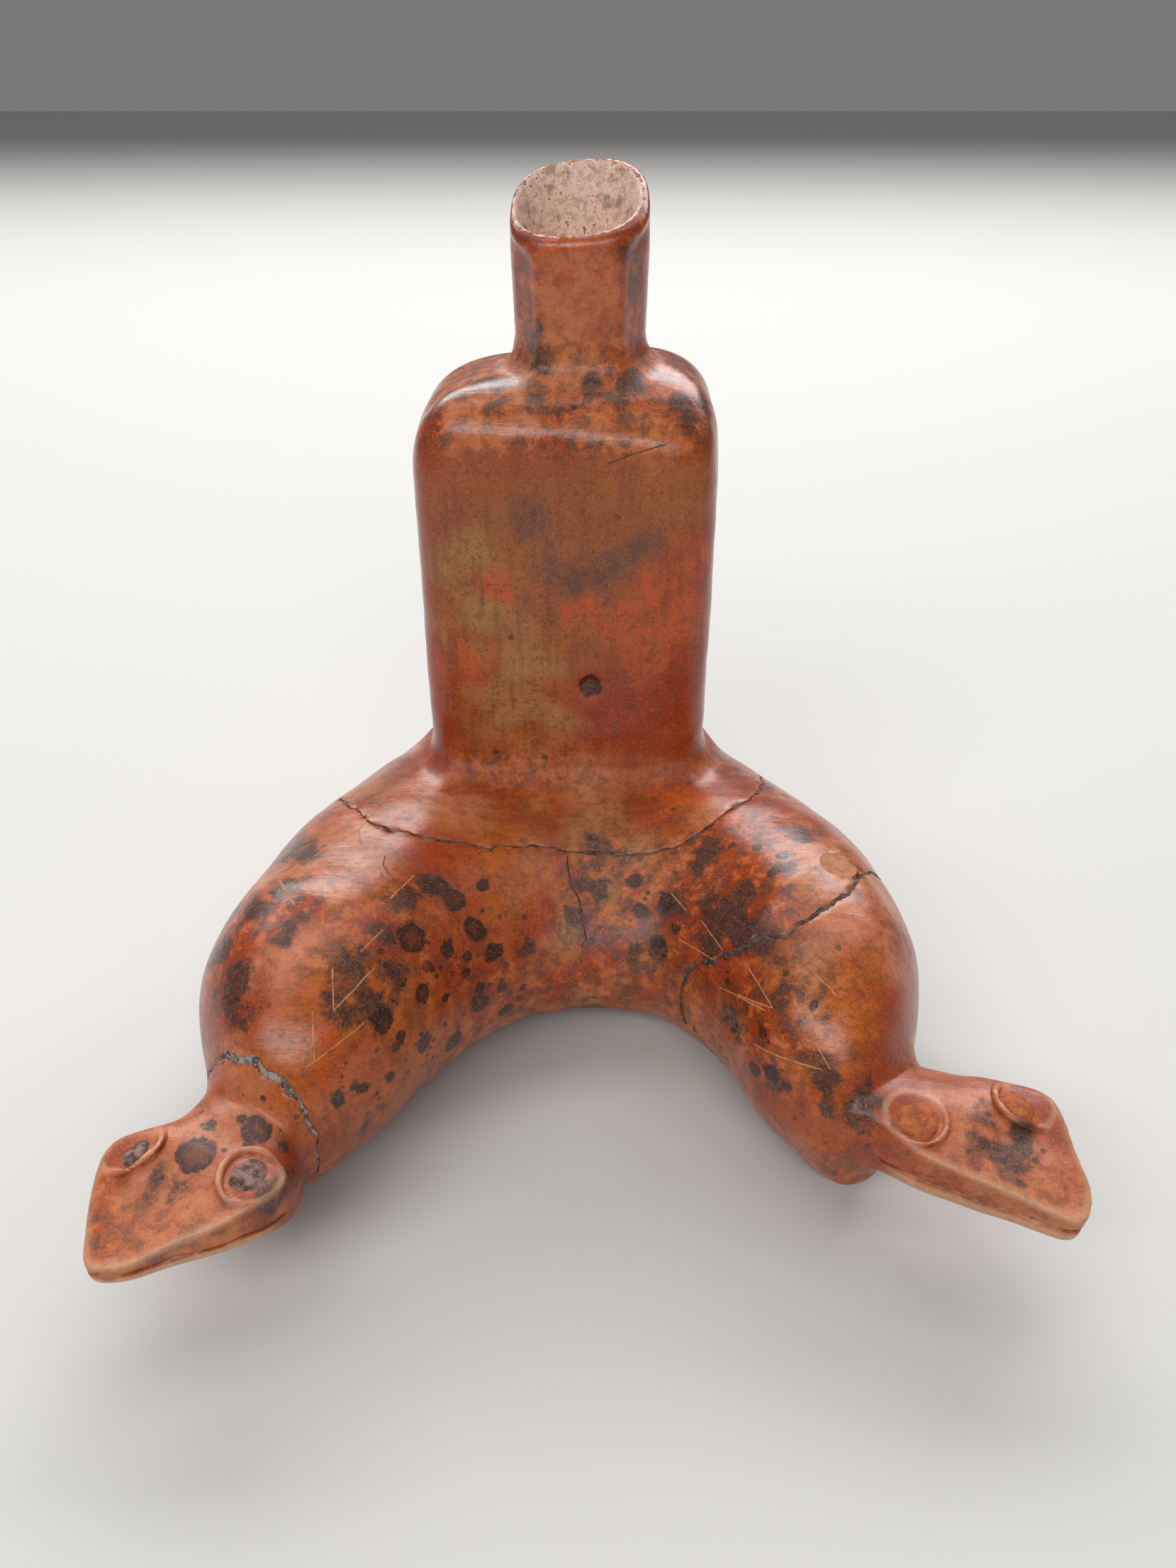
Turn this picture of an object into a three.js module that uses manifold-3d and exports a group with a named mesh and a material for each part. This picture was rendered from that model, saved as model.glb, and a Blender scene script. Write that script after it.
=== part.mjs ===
// A hand-built pottery vessel: two snakes whose bodies join in the middle under a tall, box-shaped
// flask with a square spout. The snakes are hollow and open into the flask, and each ends in a
// flat, wedge-shaped head with applied eyes. The vessel was broken once and mended, so its sherds
// are separate pieces, with filler in the breaks between them.

import * as THREE from 'three';
import { mergeVertices } from 'three/addons/utils/BufferGeometryUtils.js';
import Module from 'manifold-3d';

const wasm = await Module();
wasm.setup();

// Sizes are in millimetres and degrees. X runs to the right, Y to the back and Z up. Plan
// positions are measured from the flask's axis, and Z = 0 is the surface that the vessel stands on.

const wall = 6; // thickness of the fired clay
const clearance = 0.3; // gap between neighbouring pieces
const breakWidth = 1.6; // filler in a mended break
const seamWidth = 1; // filler in the seam between the two snakes

// Flask: a box with soft corners on a flared skirt
const flaskWidth = 102;
const flaskDepth = 79;
const flaskSquareness = 6.5;
const skirtHeight = 82; // where the walls start to flare out
const skirtDepth = 18; // how far down the flare runs
const skirtFlare = 6; // how far it spreads
const flaskFoot = 38; // where the walls end, inside the snakes
const shoulderHeight = 186; // where the walls start to close in
const shoulderRise = 36;
const shoulderLean = 0.03; // how much higher its right side stands
const jointRise = 13; // how far above the flare the walls' lower luted joint lies
const skirtJoint = skirtHeight + jointRise;
const shoulderJointRise = 2;
const shoulderJoint = shoulderHeight + shoulderJointRise;

// Spout
const spoutWidth = 44;
const spoutDepth = 42;
const spoutSquareness = 4;
const spoutOffset = 5; // its axis lies to the right of the flask's
const spoutRise = 33; // how far above the shoulder's edge it starts
const spoutRoot = shoulderHeight + spoutRise;
const spoutJointRise = 5;
const spoutJoint = spoutRoot + spoutJointRise;
const spoutFlare = 4;
const spoutFillet = 12; // how far below its root the flare starts
const frontLipRise = 41; // the rim slopes down to the front
const backLipRise = 59;
const frontLip = spoutRoot + frontLipRise;
const backLip = spoutRoot + backLipRise;
const lipWidth = 3;
const funnelDepth = 20;
const boreWidth = 28;

// Snakes: crest heights, and the plan of the inner and outer edge from the crotch to the neck
const crestHeight = 86;
const lapHeight = 78;
const wornFlat = 1.2; // how much of the round underside is worn away
const endRise = 17; // how far the underside lifts where a snake closes in to its neck
const crotch = [[-2, -108.5], [9, -107], [20, -107.5]];
const back = [[-46, 44], [-2, 60], [40, 43]];
const leftEdges = {
  inner: [[-12, -111], [-28, -122], [-42, -138], [-55, -156], [-71, -171], [-82, -176]],
  outer: [[-66, 19], [-99, -39], [-113, -85], [-119, -126], [-109, -154], [-98, -168]],
};
const rightEdges = {
  inner: [[30, -109], [42, -120], [52, -134], [61, -153], [73, -167], [82, -172]],
  outer: [[60, 16], [96, -36], [113, -78], [118, -112], [109, -146], [99, -161]],
};

// Breaks: the loop round the skirt, the seam between the snakes, the line across the right snake
// from its inner to its outer side, and the round patch beside it
const loopCentre = [-7, -6];
const loopWidth = 166;
const loopDepth = 144;
const loopBottom = 35; // where it runs along the back
const seamPlace = 0.5;
const breakLine = [[24, -134], [45, -118], [63, -125], [81, -119], [99, -98], [128, -66]];
const patchPlace = [90, -98];
const patchWidth = 12;

// Heads, in plan: the neck's root, the widest place, the heading from straight ahead, the reach of
// the snout, how far it drifts sideways on the way, and the two eyes
const leftHead = {
  root: [-86, -154], widest: [-105, -184], heading: -27, snout: 36, drift: -5,
  eyes: { left: [-120, -186], right: [-86, -192] },
};
const rightHead = {
  root: [88, -152], widest: [121, -166], heading: 20, snout: 41, drift: 6,
  eyes: { left: [103, -174], right: [136, -168] },
};
const headWidth = 51;
const headTop = 50;
const headBase = 27;
const headSquareness = 3.1;
const neckWidth = 36;
const neckThickness = 27;
const snoutWidth = 18;
const snoutTop = 42;
const neckHeight = 37; // middle of the neck where it leaves the body
const mouthHeight = 34;
const mouthGap = 1.4;
const mouthDepth = 2.5;
const mouthCorner = 4; // how far behind the head's widest place it ends
const eyeTilt = 26; // outwards
const eyeSink = 2; // below the head's surface
const moundTop = 0.5; // above the eye's own middle
const moundDepth = 9;
const eyeWidth = 21;
const eyeRidge = 4;
const pelletWidth = 10.5;
const pelletHeight = 5;

const clay = 0xb4532c;
const darkClay = 0x7d4636;
const filler = 0x8f8a74;
const patchFiller = 0xc98a55;

const far = 400; // how far cutters run, well past the vessel
const up = new THREE.Vector3(0, 0, 1);

// Points of a superellipse, anticlockwise from its +X side.
function roundedRing(halfX, halfY, squareness, count) {
  return Array.from({ length: count }, (_, i) => {
    const angle = (i / count) * 2 * Math.PI;
    const [c, s] = [Math.cos(angle), Math.sin(angle)];
    const power = 2 / squareness;
    return new THREE.Vector2(
      halfX * Math.sign(c) * Math.abs(c) ** power,
      halfY * Math.sign(s) * Math.abs(s) ** power,
    );
  });
}

function centreOf(ring) {
  return ring.reduce((sum, point) => sum.add(point), new THREE.Vector3()).divideScalar(ring.length);
}

// A closed geometry through rings that run anticlockwise round the way they follow each other.
function loft(rings) {
  const count = rings[0].length;
  const points = rings.flat();
  const index = [];
  for (let i = 0; i + 1 < rings.length; i += 1) {
    for (let j = 0; j < count; j += 1) {
      const a = i * count + j;
      const b = i * count + ((j + 1) % count);
      index.push(a, b, b + count, a, b + count, a + count);
    }
  }
  const last = (rings.length - 1) * count;
  const start = points.length;
  points.push(centreOf(rings[0]), centreOf(rings.at(-1)));
  for (let j = 0; j < count; j += 1) {
    const next = (j + 1) % count;
    index.push(start, next, j, start + 1, last + j, last + next);
  }
  const geometry = new THREE.BufferGeometry().setFromPoints(points);
  geometry.setIndex(index);
  return geometry;
}

// The solid that a closed geometry bounds, ready for joining and cutting.
function solid(geometry) {
  const bare = geometry.clone();
  bare.deleteAttribute('normal');
  bare.deleteAttribute('uv');
  const merged = mergeVertices(bare, 1e-4);
  return new wasm.Manifold(new wasm.Mesh({
    numProp: 3,
    vertProperties: new Float32Array(merged.attributes.position.array),
    triVerts: new Uint32Array(merged.index.array),
  }));
}

function block(low, high) {
  const size = high.map((value, axis) => value - low[axis]);
  const middle = high.map((value, axis) => (value + low[axis]) / 2);
  return solid(new THREE.BoxGeometry(...size).translate(...middle));
}

// An upright loft of level rings. A level may climb towards the back and towards the right.
function upright(levels, count) {
  return solid(loft(levels.map((level) => {
    const { x = 0, z, halfX, halfY, squareness, climbBack = 0, climbRight = 0 } = level;
    return roundedRing(halfX, halfY, squareness, count).map((point) => (
      new THREE.Vector3(point.x + x, point.y, z + point.y * climbBack + point.x * climbRight)
    ));
  })));
}

// The flask, or its hollow when the inset is the wall's thickness.
function flask(inset) {
  const halfX = flaskWidth / 2 - inset;
  const halfY = flaskDepth / 2 - inset;
  const levels = [];
  const flareSteps = 5;
  for (let i = 0; i <= flareSteps; i += 1) {
    const down = 1 - i / flareSteps;
    const spread = skirtFlare * down ** 2.4;
    levels.push({
      z: skirtHeight - skirtDepth * down,
      halfX: halfX + spread,
      halfY: halfY + spread,
      squareness: THREE.MathUtils.lerp(flaskSquareness, 3.4, down),
    });
  }
  levels.unshift({ ...levels[0], z: flaskFoot });
  const shoulderSteps = [0, 0.25, 0.45, 0.62, 0.76, 0.87, 0.95];
  for (const up of shoulderSteps) {
    levels.push({
      z: shoulderHeight + (shoulderRise - inset * 0.9) * up,
      halfX: halfX * (1 - up ** 2.8) ** (1 / 2.8),
      halfY: halfY * (1 - up ** 3.5) ** (1 / 3.5),
      squareness: THREE.MathUtils.lerp(flaskSquareness, 4, up),
      climbRight: shoulderLean,
    });
  }
  return upright(levels, 28);
}

// The rim lies in a plane that slopes down to the front.
const rimSlope = (backLip - frontLip) / spoutDepth;
const rimHeight = (frontLip + backLip) / 2;

function spout() {
  const halfX = spoutWidth / 2;
  const halfY = spoutDepth / 2;
  const level = { x: spoutOffset, squareness: spoutSquareness };
  const at = (z, spread) => ({ ...level, z, halfX: halfX + spread, halfY: halfY + spread });
  return upright([
    at(spoutRoot - spoutFillet, spoutFlare * 1.6),
    at(spoutRoot, spoutFlare),
    at(spoutRoot + spoutFillet / 2, spoutFlare * 0.3),
    at(spoutRoot + spoutFillet + 2, -0.6),
    at(rimHeight - 14, 0),
    { ...level, z: rimHeight, halfX: halfX - 0.5, halfY, squareness: 3, climbBack: rimSlope },
  ], 20);
}

function bore() {
  const narrow = boreWidth / 2;
  const wideX = spoutWidth / 2 - lipWidth;
  const wideY = spoutDepth / 2 - lipWidth;
  const level = { x: spoutOffset, squareness: 3, climbBack: rimSlope };
  return upright([
    { ...level, z: shoulderHeight + 8, halfX: narrow, halfY: narrow, climbBack: 0 },
    { ...level, z: rimHeight - funnelDepth, halfX: narrow, halfY: narrow },
    {
      ...level,
      z: rimHeight - funnelDepth * 0.4,
      halfX: (narrow + wideX * 2) / 3,
      halfY: (narrow + wideY * 2) / 3,
    },
    { ...level, z: rimHeight, halfX: wideX, halfY: wideY },
    { ...level, z: rimHeight + 10, halfX: wideX + 1, halfY: wideY + 1 },
  ], 16);
}

// The snakes' joined bodies: rings that stand across the plan, from its inner to its outer edge,
// all the way from the left neck round the crotch to the right one. A negative inset grows them.
function snakes(inset) {
  const route = (left, middle, right) => new THREE.CatmullRomCurve3(
    [...left.toReversed(), ...middle, ...right].map(([x, y]) => new THREE.Vector3(x, y, 0)),
  );
  const innerEdge = route(leftEdges.inner, crotch, rightEdges.inner);
  const outerEdge = route(leftEdges.outer, back, rightEdges.outer);
  const steps = 30;
  const rings = [];
  for (let i = 0; i <= steps; i += 1) {
    const a = innerEdge.getPoint(i / steps);
    const b = outerEdge.getPoint(i / steps);
    const span = a.distanceTo(b);
    const fromMiddle = Math.abs(i / steps - 0.5) * 2;
    const rise = THREE.MathUtils.smoothstep(fromMiddle, 0.1, 0.6);
    const crest = THREE.MathUtils.lerp(lapHeight, crestHeight, rise);
    const close = Math.min(1, span / crestHeight);
    const bottom = endRise * (1 - close) - wornFlat;
    const top = bottom + (crest + wornFlat) * close ** 0.6;
    const halfWide = span / 2 - inset;
    const halfHigh = (top - bottom) / 2 - inset;
    if (inset > 0 && halfWide < 12) continue;
    const across = b.clone().sub(a).normalize();
    const ahead = new THREE.Vector3(across.y, -across.x, 0);
    const growth = -inset * (Number(i === steps) - Number(i === 0));
    const centre = a.clone().add(b).multiplyScalar(0.5).setZ((top + bottom) / 2)
      .addScaledVector(ahead, growth);
    rings.push(roundedRing(halfWide, halfHigh, 2.15, 20).map((point) => (
      centre.clone().addScaledVector(across, point.x).add(new THREE.Vector3(0, 0, point.y))
    )));
  }
  return solid(loft(rings));
}

// A head's own frame in plan: forward to the snout, and aside to the right as seen from above
// with the snout pointing down the page.
function headFrame(head) {
  const heading = THREE.MathUtils.degToRad(head.heading);
  return {
    origin: new THREE.Vector3(...head.widest, 0),
    forward: new THREE.Vector3(Math.sin(heading), -Math.cos(heading), 0),
    aside: new THREE.Vector3(Math.cos(heading), Math.sin(heading), 0),
  };
}

// The wedge of a head, or the core inside its mouth slit when the inset is the slit's depth.
function wedge(head, inset) {
  const { origin, forward, aside } = headFrame(head);
  const reach = head.snout - inset;
  const half = headWidth / 2;
  const sections = [
    { s: -15, half: half * 0.5, low: headBase + 5, high: headTop - 6, squareness: 2.4 },
    { s: -11, half: half * 0.78, low: headBase + 2, high: headTop - 2, squareness: 2.7 },
    { s: -5, half: half * 0.95, low: headBase, high: headTop, squareness: headSquareness },
    { s: 2, half, low: headBase, high: headTop, squareness: headSquareness },
    { s: reach * 0.36, half: half * 0.86, low: headBase, high: headTop - 2.5, squareness: 3.3 },
    { s: reach * 0.7, half: half * 0.6, low: headBase + 0.5, high: snoutTop + 3, squareness: 3.4 },
    { s: reach * 0.93, half: snoutWidth * 0.52, low: headBase + 1, high: snoutTop, squareness: 3 },
    { s: reach, half: snoutWidth * 0.3, low: headBase + 4, high: snoutTop - 3, squareness: 2.4 },
  ];
  return solid(loft(sections.map((section) => {
    const middle = origin.clone().setZ((section.high + section.low) / 2)
      .addScaledVector(forward, section.s)
      .addScaledVector(aside, head.drift * Math.max(0, section.s / head.snout));
    const high = (section.high - section.low) / 2;
    return roundedRing(section.half - inset, high, section.squareness, 18)
      .map((point) => middle.clone().addScaledVector(aside, point.x).addScaledVector(up, point.y));
  })));
}

function neck(head) {
  const from = new THREE.Vector3(...head.root, neckHeight);
  const to = new THREE.Vector3(...head.widest, (headTop + headBase) / 2);
  const forward = to.clone().sub(from).normalize();
  const aside = up.clone().cross(forward).normalize();
  const above = forward.clone().cross(aside);
  const swell = [0.8, 1.05, 1.08, 1, 0.9];
  return solid(loft(swell.map((size, i) => (
    roundedRing(size * neckWidth / 2, size * neckThickness / 2, 2.2, 14).map((point) => (
      from.clone().lerp(to, i / (swell.length - 1))
        .addScaledVector(aside, point.x).addScaledVector(above, point.y)
    ))
  ))));
}

// Where an eye sits on the head's upper edge, with Z square to the clay under it.
function eyePlace(head, eye) {
  const { origin, forward, aside } = headFrame(head);
  const centre = new THREE.Vector3(...eye, 0);
  const offset = centre.clone().sub(origin).dot(aside);
  const tilt = THREE.MathUtils.degToRad(eyeTilt) * Math.sign(offset);
  const outward = aside.clone().multiplyScalar(Math.sin(tilt)).addScaledVector(up, Math.cos(tilt));
  const curve = 1 - Math.abs(offset * 2 / headWidth) ** headSquareness;
  const surface = (headTop + headBase) / 2 + curve ** (1 / headSquareness) * (headTop - headBase) / 2;
  return new THREE.Matrix4().makeBasis(forward.clone().cross(outward), forward, outward)
    .setPosition(centre.setZ(surface - eyeSink));
}

function eyeMound(place) {
  const ball = new THREE.SphereGeometry(eyeWidth / 2 + 1, 14, 8).rotateX(Math.PI / 2);
  ball.scale(1, 1, moundDepth / eyeWidth).translate(0, 0, moundTop - moundDepth / 2);
  return solid(ball.applyMatrix4(place));
}

function eyeRing(place, growth) {
  const ridge = eyeRidge / 2;
  const ring = new THREE.TorusGeometry(eyeWidth / 2 - ridge, ridge + growth, 5, 14);
  return solid(ring.applyMatrix4(place));
}

function eyePellet(place, growth) {
  const ball = new THREE.SphereGeometry(pelletWidth / 2 + growth, 9, 5);
  const flat = (pelletHeight / 2 + growth) / (pelletWidth / 2 + growth);
  return solid(ball.rotateX(Math.PI / 2).scale(1, 1, flat).applyMatrix4(place));
}

// The slit that runs round the snout from one corner of the mouth to the other.
function mouth(head) {
  const { origin, forward } = headFrame(head);
  const slit = new THREE.BoxGeometry(headWidth * 2, headWidth, mouthGap)
    .translate(0, mouthCorner - headWidth / 2, 0)
    .rotateZ(Math.atan2(forward.x, -forward.y)).translate(origin.x, origin.y, mouthHeight);
  return solid(slit).subtract(wedge(head, mouthDepth));
}

// A cup whose side and bottom are the break round the skirt.
function loop(growth) {
  const level = (z, scale) => ({
    x: loopCentre[0],
    z,
    halfX: loopWidth / 2 * scale + growth,
    halfY: loopDepth / 2 * scale + growth,
    squareness: 3,
  });
  const levels = [level(loopBottom - growth, 0.95), level(skirtHeight - 22, 0.96),
    level(skirtHeight - 10, 0.98), level(skirtHeight + 28, 1.1)];
  return upright(levels, 28).translate([0, loopCentre[1], 0]);
}

// Everything in front of the break across the right snake, up to a distance before the line.
function frontOfBreak(distance) {
  const line = breakLine.map(([x, y]) => new THREE.Vector2(x, y));
  const moved = line.map((point, i) => {
    const [before, after] = [line[Math.max(i - 1, 0)], line[Math.min(i + 1, line.length - 1)]];
    const along = after.clone().sub(before).normalize();
    return point.clone().add(new THREE.Vector2(along.y, -along.x).multiplyScalar(distance));
  });
  const outline = [...moved, new THREE.Vector2(far, moved.at(-1).y), new THREE.Vector2(far, -far),
    new THREE.Vector2(moved[0].x, -far)];
  const shape = new THREE.Shape(outline);
  const prism = new THREE.ExtrudeGeometry(shape, { depth: far, bevelEnabled: false });
  return solid(prism.translate(0, 0, -far / 2));
}

function patch(growth) {
  const radius = patchWidth / 2 + growth;
  const plug = new THREE.CylinderGeometry(radius, radius, crestHeight, 14);
  return solid(plug.rotateX(Math.PI / 2).translate(patchPlace[0], patchPlace[1], crestHeight));
}

const vessel = new THREE.Group();
function place(name, piece, colour) {
  const mesh = piece.getMesh();
  const geometry = new THREE.BufferGeometry();
  geometry.setAttribute('position', new THREE.BufferAttribute(new Float32Array(mesh.vertProperties), 3));
  geometry.setIndex(new THREE.BufferAttribute(new Uint32Array(mesh.triVerts), 1));
  const material = new THREE.MeshStandardMaterial({ color: colour, roughness: 0.4, metalness: 0 });
  const node = new THREE.Mesh(geometry, material);
  node.name = name;
  vessel.add(node);
}

const halfGap = clearance / 2;
const between = (axis, low, high) => {
  const from = [-far, -far, -far];
  const to = [far, far, far];
  from[axis] = low;
  to[axis] = high;
  return block(from, to);
};
const aboveGround = between(2, 0, far);
const body = snakes(0).add(flask(0)).add(spout()).intersect(aboveGround);
const hollow = snakes(wall).add(flask(wall)).add(bore());
const shell = body.subtract(hollow);

place('spout', shell.intersect(between(2, spoutJoint + halfGap, far)), clay);
place('flask_shoulder', shell.intersect(between(2, shoulderJoint + halfGap, spoutJoint - halfGap)), clay);
place('flask_walls', shell.intersect(between(2, skirtJoint + halfGap, shoulderJoint - halfGap)), clay);

const breakHalf = breakWidth / 2;
const seamHalf = seamWidth / 2;
const foot = shell.intersect(between(2, 0, skirtJoint - halfGap));
place('flask_skirt', foot.intersect(loop(-breakHalf - clearance)), clay);
place('skirt_break_filler', foot.intersect(loop(breakHalf).subtract(loop(-breakHalf))), filler);

// The filler stays a little above the surface that the vessel stands on.
const offGround = between(2, clearance, far);
const snakeShell = foot.subtract(loop(breakHalf + clearance));
const seam = between(0, seamPlace - seamHalf, seamPlace + seamHalf).intersect(offGround);
place('left_snake', snakeShell.intersect(between(0, -far, seamPlace - seamHalf - clearance)), clay);
place('seam_filler', snakeShell.intersect(seam), filler);

const rightShell = snakeShell.intersect(between(0, seamPlace + seamHalf + clearance, far));
const behindBreak = rightShell.subtract(frontOfBreak(-breakHalf - clearance));
place('right_snake_root', behindBreak.subtract(patch(clearance)), clay);
place('right_snake_end', rightShell.intersect(frontOfBreak(breakHalf + clearance)), clay);
const breakBand = frontOfBreak(-breakHalf).subtract(frontOfBreak(breakHalf)).intersect(offGround);
place('right_break_filler', rightShell.intersect(breakBand), filler);
place('patch_filler', behindBreak.intersect(patch(0)), patchFiller);

for (const [side, head] of [['left', leftHead], ['right', rightHead]]) {
  const mended = side === 'left';
  const jointGap = mended ? clearance * 2 + breakWidth : clearance;
  const seats = { left: eyePlace(head, head.eyes.left), right: eyePlace(head, head.eyes.right) };
  const whole = wedge(head, 0).add(neck(head)).add(eyeMound(seats.left)).add(eyeMound(seats.right));
  let piece = whole.subtract(snakes(-jointGap)).subtract(mouth(head));
  for (const [name, seat] of Object.entries(seats)) {
    piece = piece.subtract(eyeRing(seat, clearance)).subtract(eyePellet(seat, clearance));
    place(`${side}_head_${name}_eye_ring`, eyeRing(seat, 0), clay);
    place(`${side}_head_${name}_eye_pellet`, eyePellet(seat, 0), darkClay);
  }
  place(`${side}_head`, piece, clay);
  if (mended) {
    const joint = snakes(-clearance - breakWidth).subtract(snakes(-clearance));
    place(`${side}_neck_filler`, whole.intersect(joint), filler);
  }
}

// The vessel stands with the middle of its footprint over the origin.
const extent = new THREE.Box3().setFromObject(vessel);
const middle = extent.getCenter(new THREE.Vector3());
vessel.position.set(-middle.x, -middle.y, -extent.min.z);

export default vessel;
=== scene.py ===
# A two-headed snake vessel of burnished pottery. The bodies are built here as smooth blended forms
# from the same sizes as the part's source, cut apart along the old breaks, and dressed with slip,
# fire clouds, manganese spots, scratches and the filler of the mend.
import math

import bpy
import numpy as np
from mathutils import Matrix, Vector


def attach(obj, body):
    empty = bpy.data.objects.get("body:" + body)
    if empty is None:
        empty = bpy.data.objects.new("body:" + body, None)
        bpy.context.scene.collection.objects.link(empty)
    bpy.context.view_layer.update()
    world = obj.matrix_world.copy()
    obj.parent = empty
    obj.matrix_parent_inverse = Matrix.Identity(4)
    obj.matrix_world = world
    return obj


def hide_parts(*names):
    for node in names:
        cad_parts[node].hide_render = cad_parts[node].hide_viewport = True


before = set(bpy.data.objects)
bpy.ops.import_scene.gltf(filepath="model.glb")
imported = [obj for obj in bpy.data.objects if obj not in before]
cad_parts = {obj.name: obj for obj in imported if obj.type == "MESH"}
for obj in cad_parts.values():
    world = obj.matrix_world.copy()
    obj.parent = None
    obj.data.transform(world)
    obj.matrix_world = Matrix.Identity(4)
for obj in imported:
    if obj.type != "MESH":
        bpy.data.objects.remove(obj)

bl_info = {
    "name": "Burnished snake vessel",
    "version": (1, 0, 0),
    "blender": (4, 5, 0),
    "location": "View3D > Sidebar > Vessel",
    "description": "Builds a mended two-headed snake vessel of burnished pottery",
    "category": "Add Mesh",
}

MM = 0.001
AXIS = np.array([-8.0, 78.1, 0.0])  # the flask's axis in the object's frame, in millimetres
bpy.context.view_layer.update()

# Plan of the snakes, from the flask's axis, in millimetres, as in the part's source
CROTCH = [[-2, -108.5], [9, -107], [20, -107.5]]
BACK = [[-46, 44], [-2, 60], [40, 43]]
LEFT_INNER = [[-12, -111], [-28, -122], [-42, -138], [-55, -156], [-71, -171], [-82, -176]]
LEFT_OUTER = [[-66, 19], [-99, -39], [-113, -85], [-119, -126], [-109, -154], [-98, -168]]
RIGHT_INNER = [[30, -109], [42, -120], [52, -134], [61, -153], [73, -167], [82, -172]]
RIGHT_OUTER = [[60, 16], [96, -36], [113, -78], [118, -112], [109, -146], [99, -161]]

# Heights of the snakes' backs, the flat worn under them, the rise of their ends and how square they are,
# the corners of the plan that their table covers, and the swelling at the right snake's end
CREST, LAP_CREST, WORN_FLAT, END_RISE, SNAKE_SQUARE = 86.0, 78.0, 1.2, 17.0, 2.15
PLAN_LOW, PLAN_HIGH = (-160.0, -150.0), (161.0, 160.0)
RIGHT_PAD, RIGHT_PAD_HALF = [91, -151, 17], [13, 15, 16]

# Flask and spout: pairs of lists give a height and the size there
HALF_X, HALF_Y, FLASK_SQUARE, ROUNDED_SQUARE = 51.0, 39.5, 6.5, 3.6
SKIRT_TOP, SKIRT_DEPTH, SKIRT_FLARE, FLASK_FOOT = 82.0, 18.0, 6.0, 38.0
SHOULDER, SHOULDER_RISE, SHOULDER_LEAN = 185.4, 35.0, 0.06
SLANT_Y, SLANT_Z, SLANT_OUT, SLANT_UP = 37.6, 209.2, 0.656, 0.755
SLANT_EDGE = ([206, 214, 226], [4.5, 6, 16])
SPOUT_X, SPOUT_HALF_X, SPOUT_HALF_Y, SPOUT_ROOT = 5.0, 22.0, 21.0, 219.0
SPOUT_FLARE = ([207, 215, 221, 229, 255, 270], [4.5, 2.6, 0.8, -0.6, 0, -0.4])
SPOUT_SQUARE, SPOUT_CORNER, SPOUT_FILLET = 2.7, 21.6, 6
FRONT_LIP, BACK_LIP, LIP, RIM_LEAN, RIM_SAG = 260.0, 278.0, 3.0, 0.07, 0.002
FUNNEL, BORE_HALF, BORE_X, BORE_SQUARE = 20.0, 14.0, -0.8, 2.25

# The wall, and in the object's frame the chips (place, radius and depth), the seam and the top of the
# mend in the left neck, which lies at NECK_MEND along it
WALL = 6.0
DENTS = [(0.4, 39.7, 118, 4.8, 0.8), (45, -57, 47, 6, 0.7), (41, -50, 60, 4, 0.4), (-96, 20, 70, 5, 0.4)]
SEAM_X, SEAM_Y = [-2, -4, -7.5, -7.5], [-30, -4, 2, 20]
NECK_MEND, NECK_MEND_TOP = 10.3, [-93, -83, 50]

# The breaks and the patch in plan from the flask's axis, half the breaks' widths, and the gaps beside them
LOOP_X, LOOP_Y, LOOP_HALF_X, LOOP_HALF_Y, LOOP_BOTTOM = -7, -6, 83, 72, 35
LOOP_SCALE = ([35, 60, 72, 110], [0.95, 0.96, 0.98, 1.1])
LOOP_FRONT = np.array([[-75, -62], [-66, -74], [-58, -77], [-47, -79], [-35, -80], [-26, -79.5], [-20, -76.5],
                       [-12, -74.2], [0, -76], [10, -76], [20, -77.6], [28, -79], [41, -78], [50, -72],
                       [57, -64], [67, -54]])
BREAK_LINE = np.array([[10, -142], [24, -131], [33, -121], [40, -115], [45, -118], [55, -123.5], [60, -124],
                       [69, -127], [81, -120], [91, -112], [99, -97], [128, -66]])
PATCH, PATCH_RADIUS = np.array([90.0, -98.0]), 6.2
HALF_LOOP, HALF_BREAK, GAP, SEAM_GAP = 0.45, 0.5, 0.05, 0.02

# Heads, from the flask's axis: the plan of the flat top's edge, the neck's ends, the top's height along
# the head, the mouth's height and the hole at its tip (place and size), the edge of the underside, how
# far the sides lean, each eye's place, height and tilt, and the radius of the pellets
HEADS = {
    "left": {
        "plan": [(-127.5, -216.5), (-119.5, -218), (-88, -206.5), (-77.5, -199.5), (-73.5, -189), (-77, -180),
                 (-100, -170), (-119, -174.5), (-130.5, -181.5), (-133, -193), (-131, -205)],
        "middle": (-105, -184), "heading": -27, "root": (-88.5, -153), "neck_end": (-105, -183),
        "rise": ([-14, -6, 3, 12, 24, 36], [44, 48.2, 49, 47.2, 44, 40.5]),
        "mouth": 37.2, "base": 32, "lean": 0.02, "hole": (-121.5, -216, 1.7),
        "eyes": {"left": (-121.6, -184, 46.0, -33), "right": (-86.5, -193.5, 47.6, 13)}, "pellet": 5.6,
    },
    "right": {
        "plan": [(144, -204.5), (149, -197), (149, -176), (146.5, -163), (137, -156), (122, -152.5),
                 (104, -158), (94, -167), (93, -175), (101, -185)],
        "middle": (121, -166), "heading": 20, "root": (88, -155.5), "neck_end": (119, -168),
        "rise": ([-16, -8, 3, 12, 28, 41], [43, 46.5, 48.8, 47.5, 44.6, 41.5]),
        "mouth": 35.2, "base": 28.5, "lean": 0.05, "hole": (143, -203, 0.5),
        "eyes": {"left": (103, -174, 48.6, -8), "right": (136, -168, 46.6, 24)}, "pellet": 6.9,
    },
}
HEAD_TOP, HEAD_BASE = 50.0, 27.0
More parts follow.
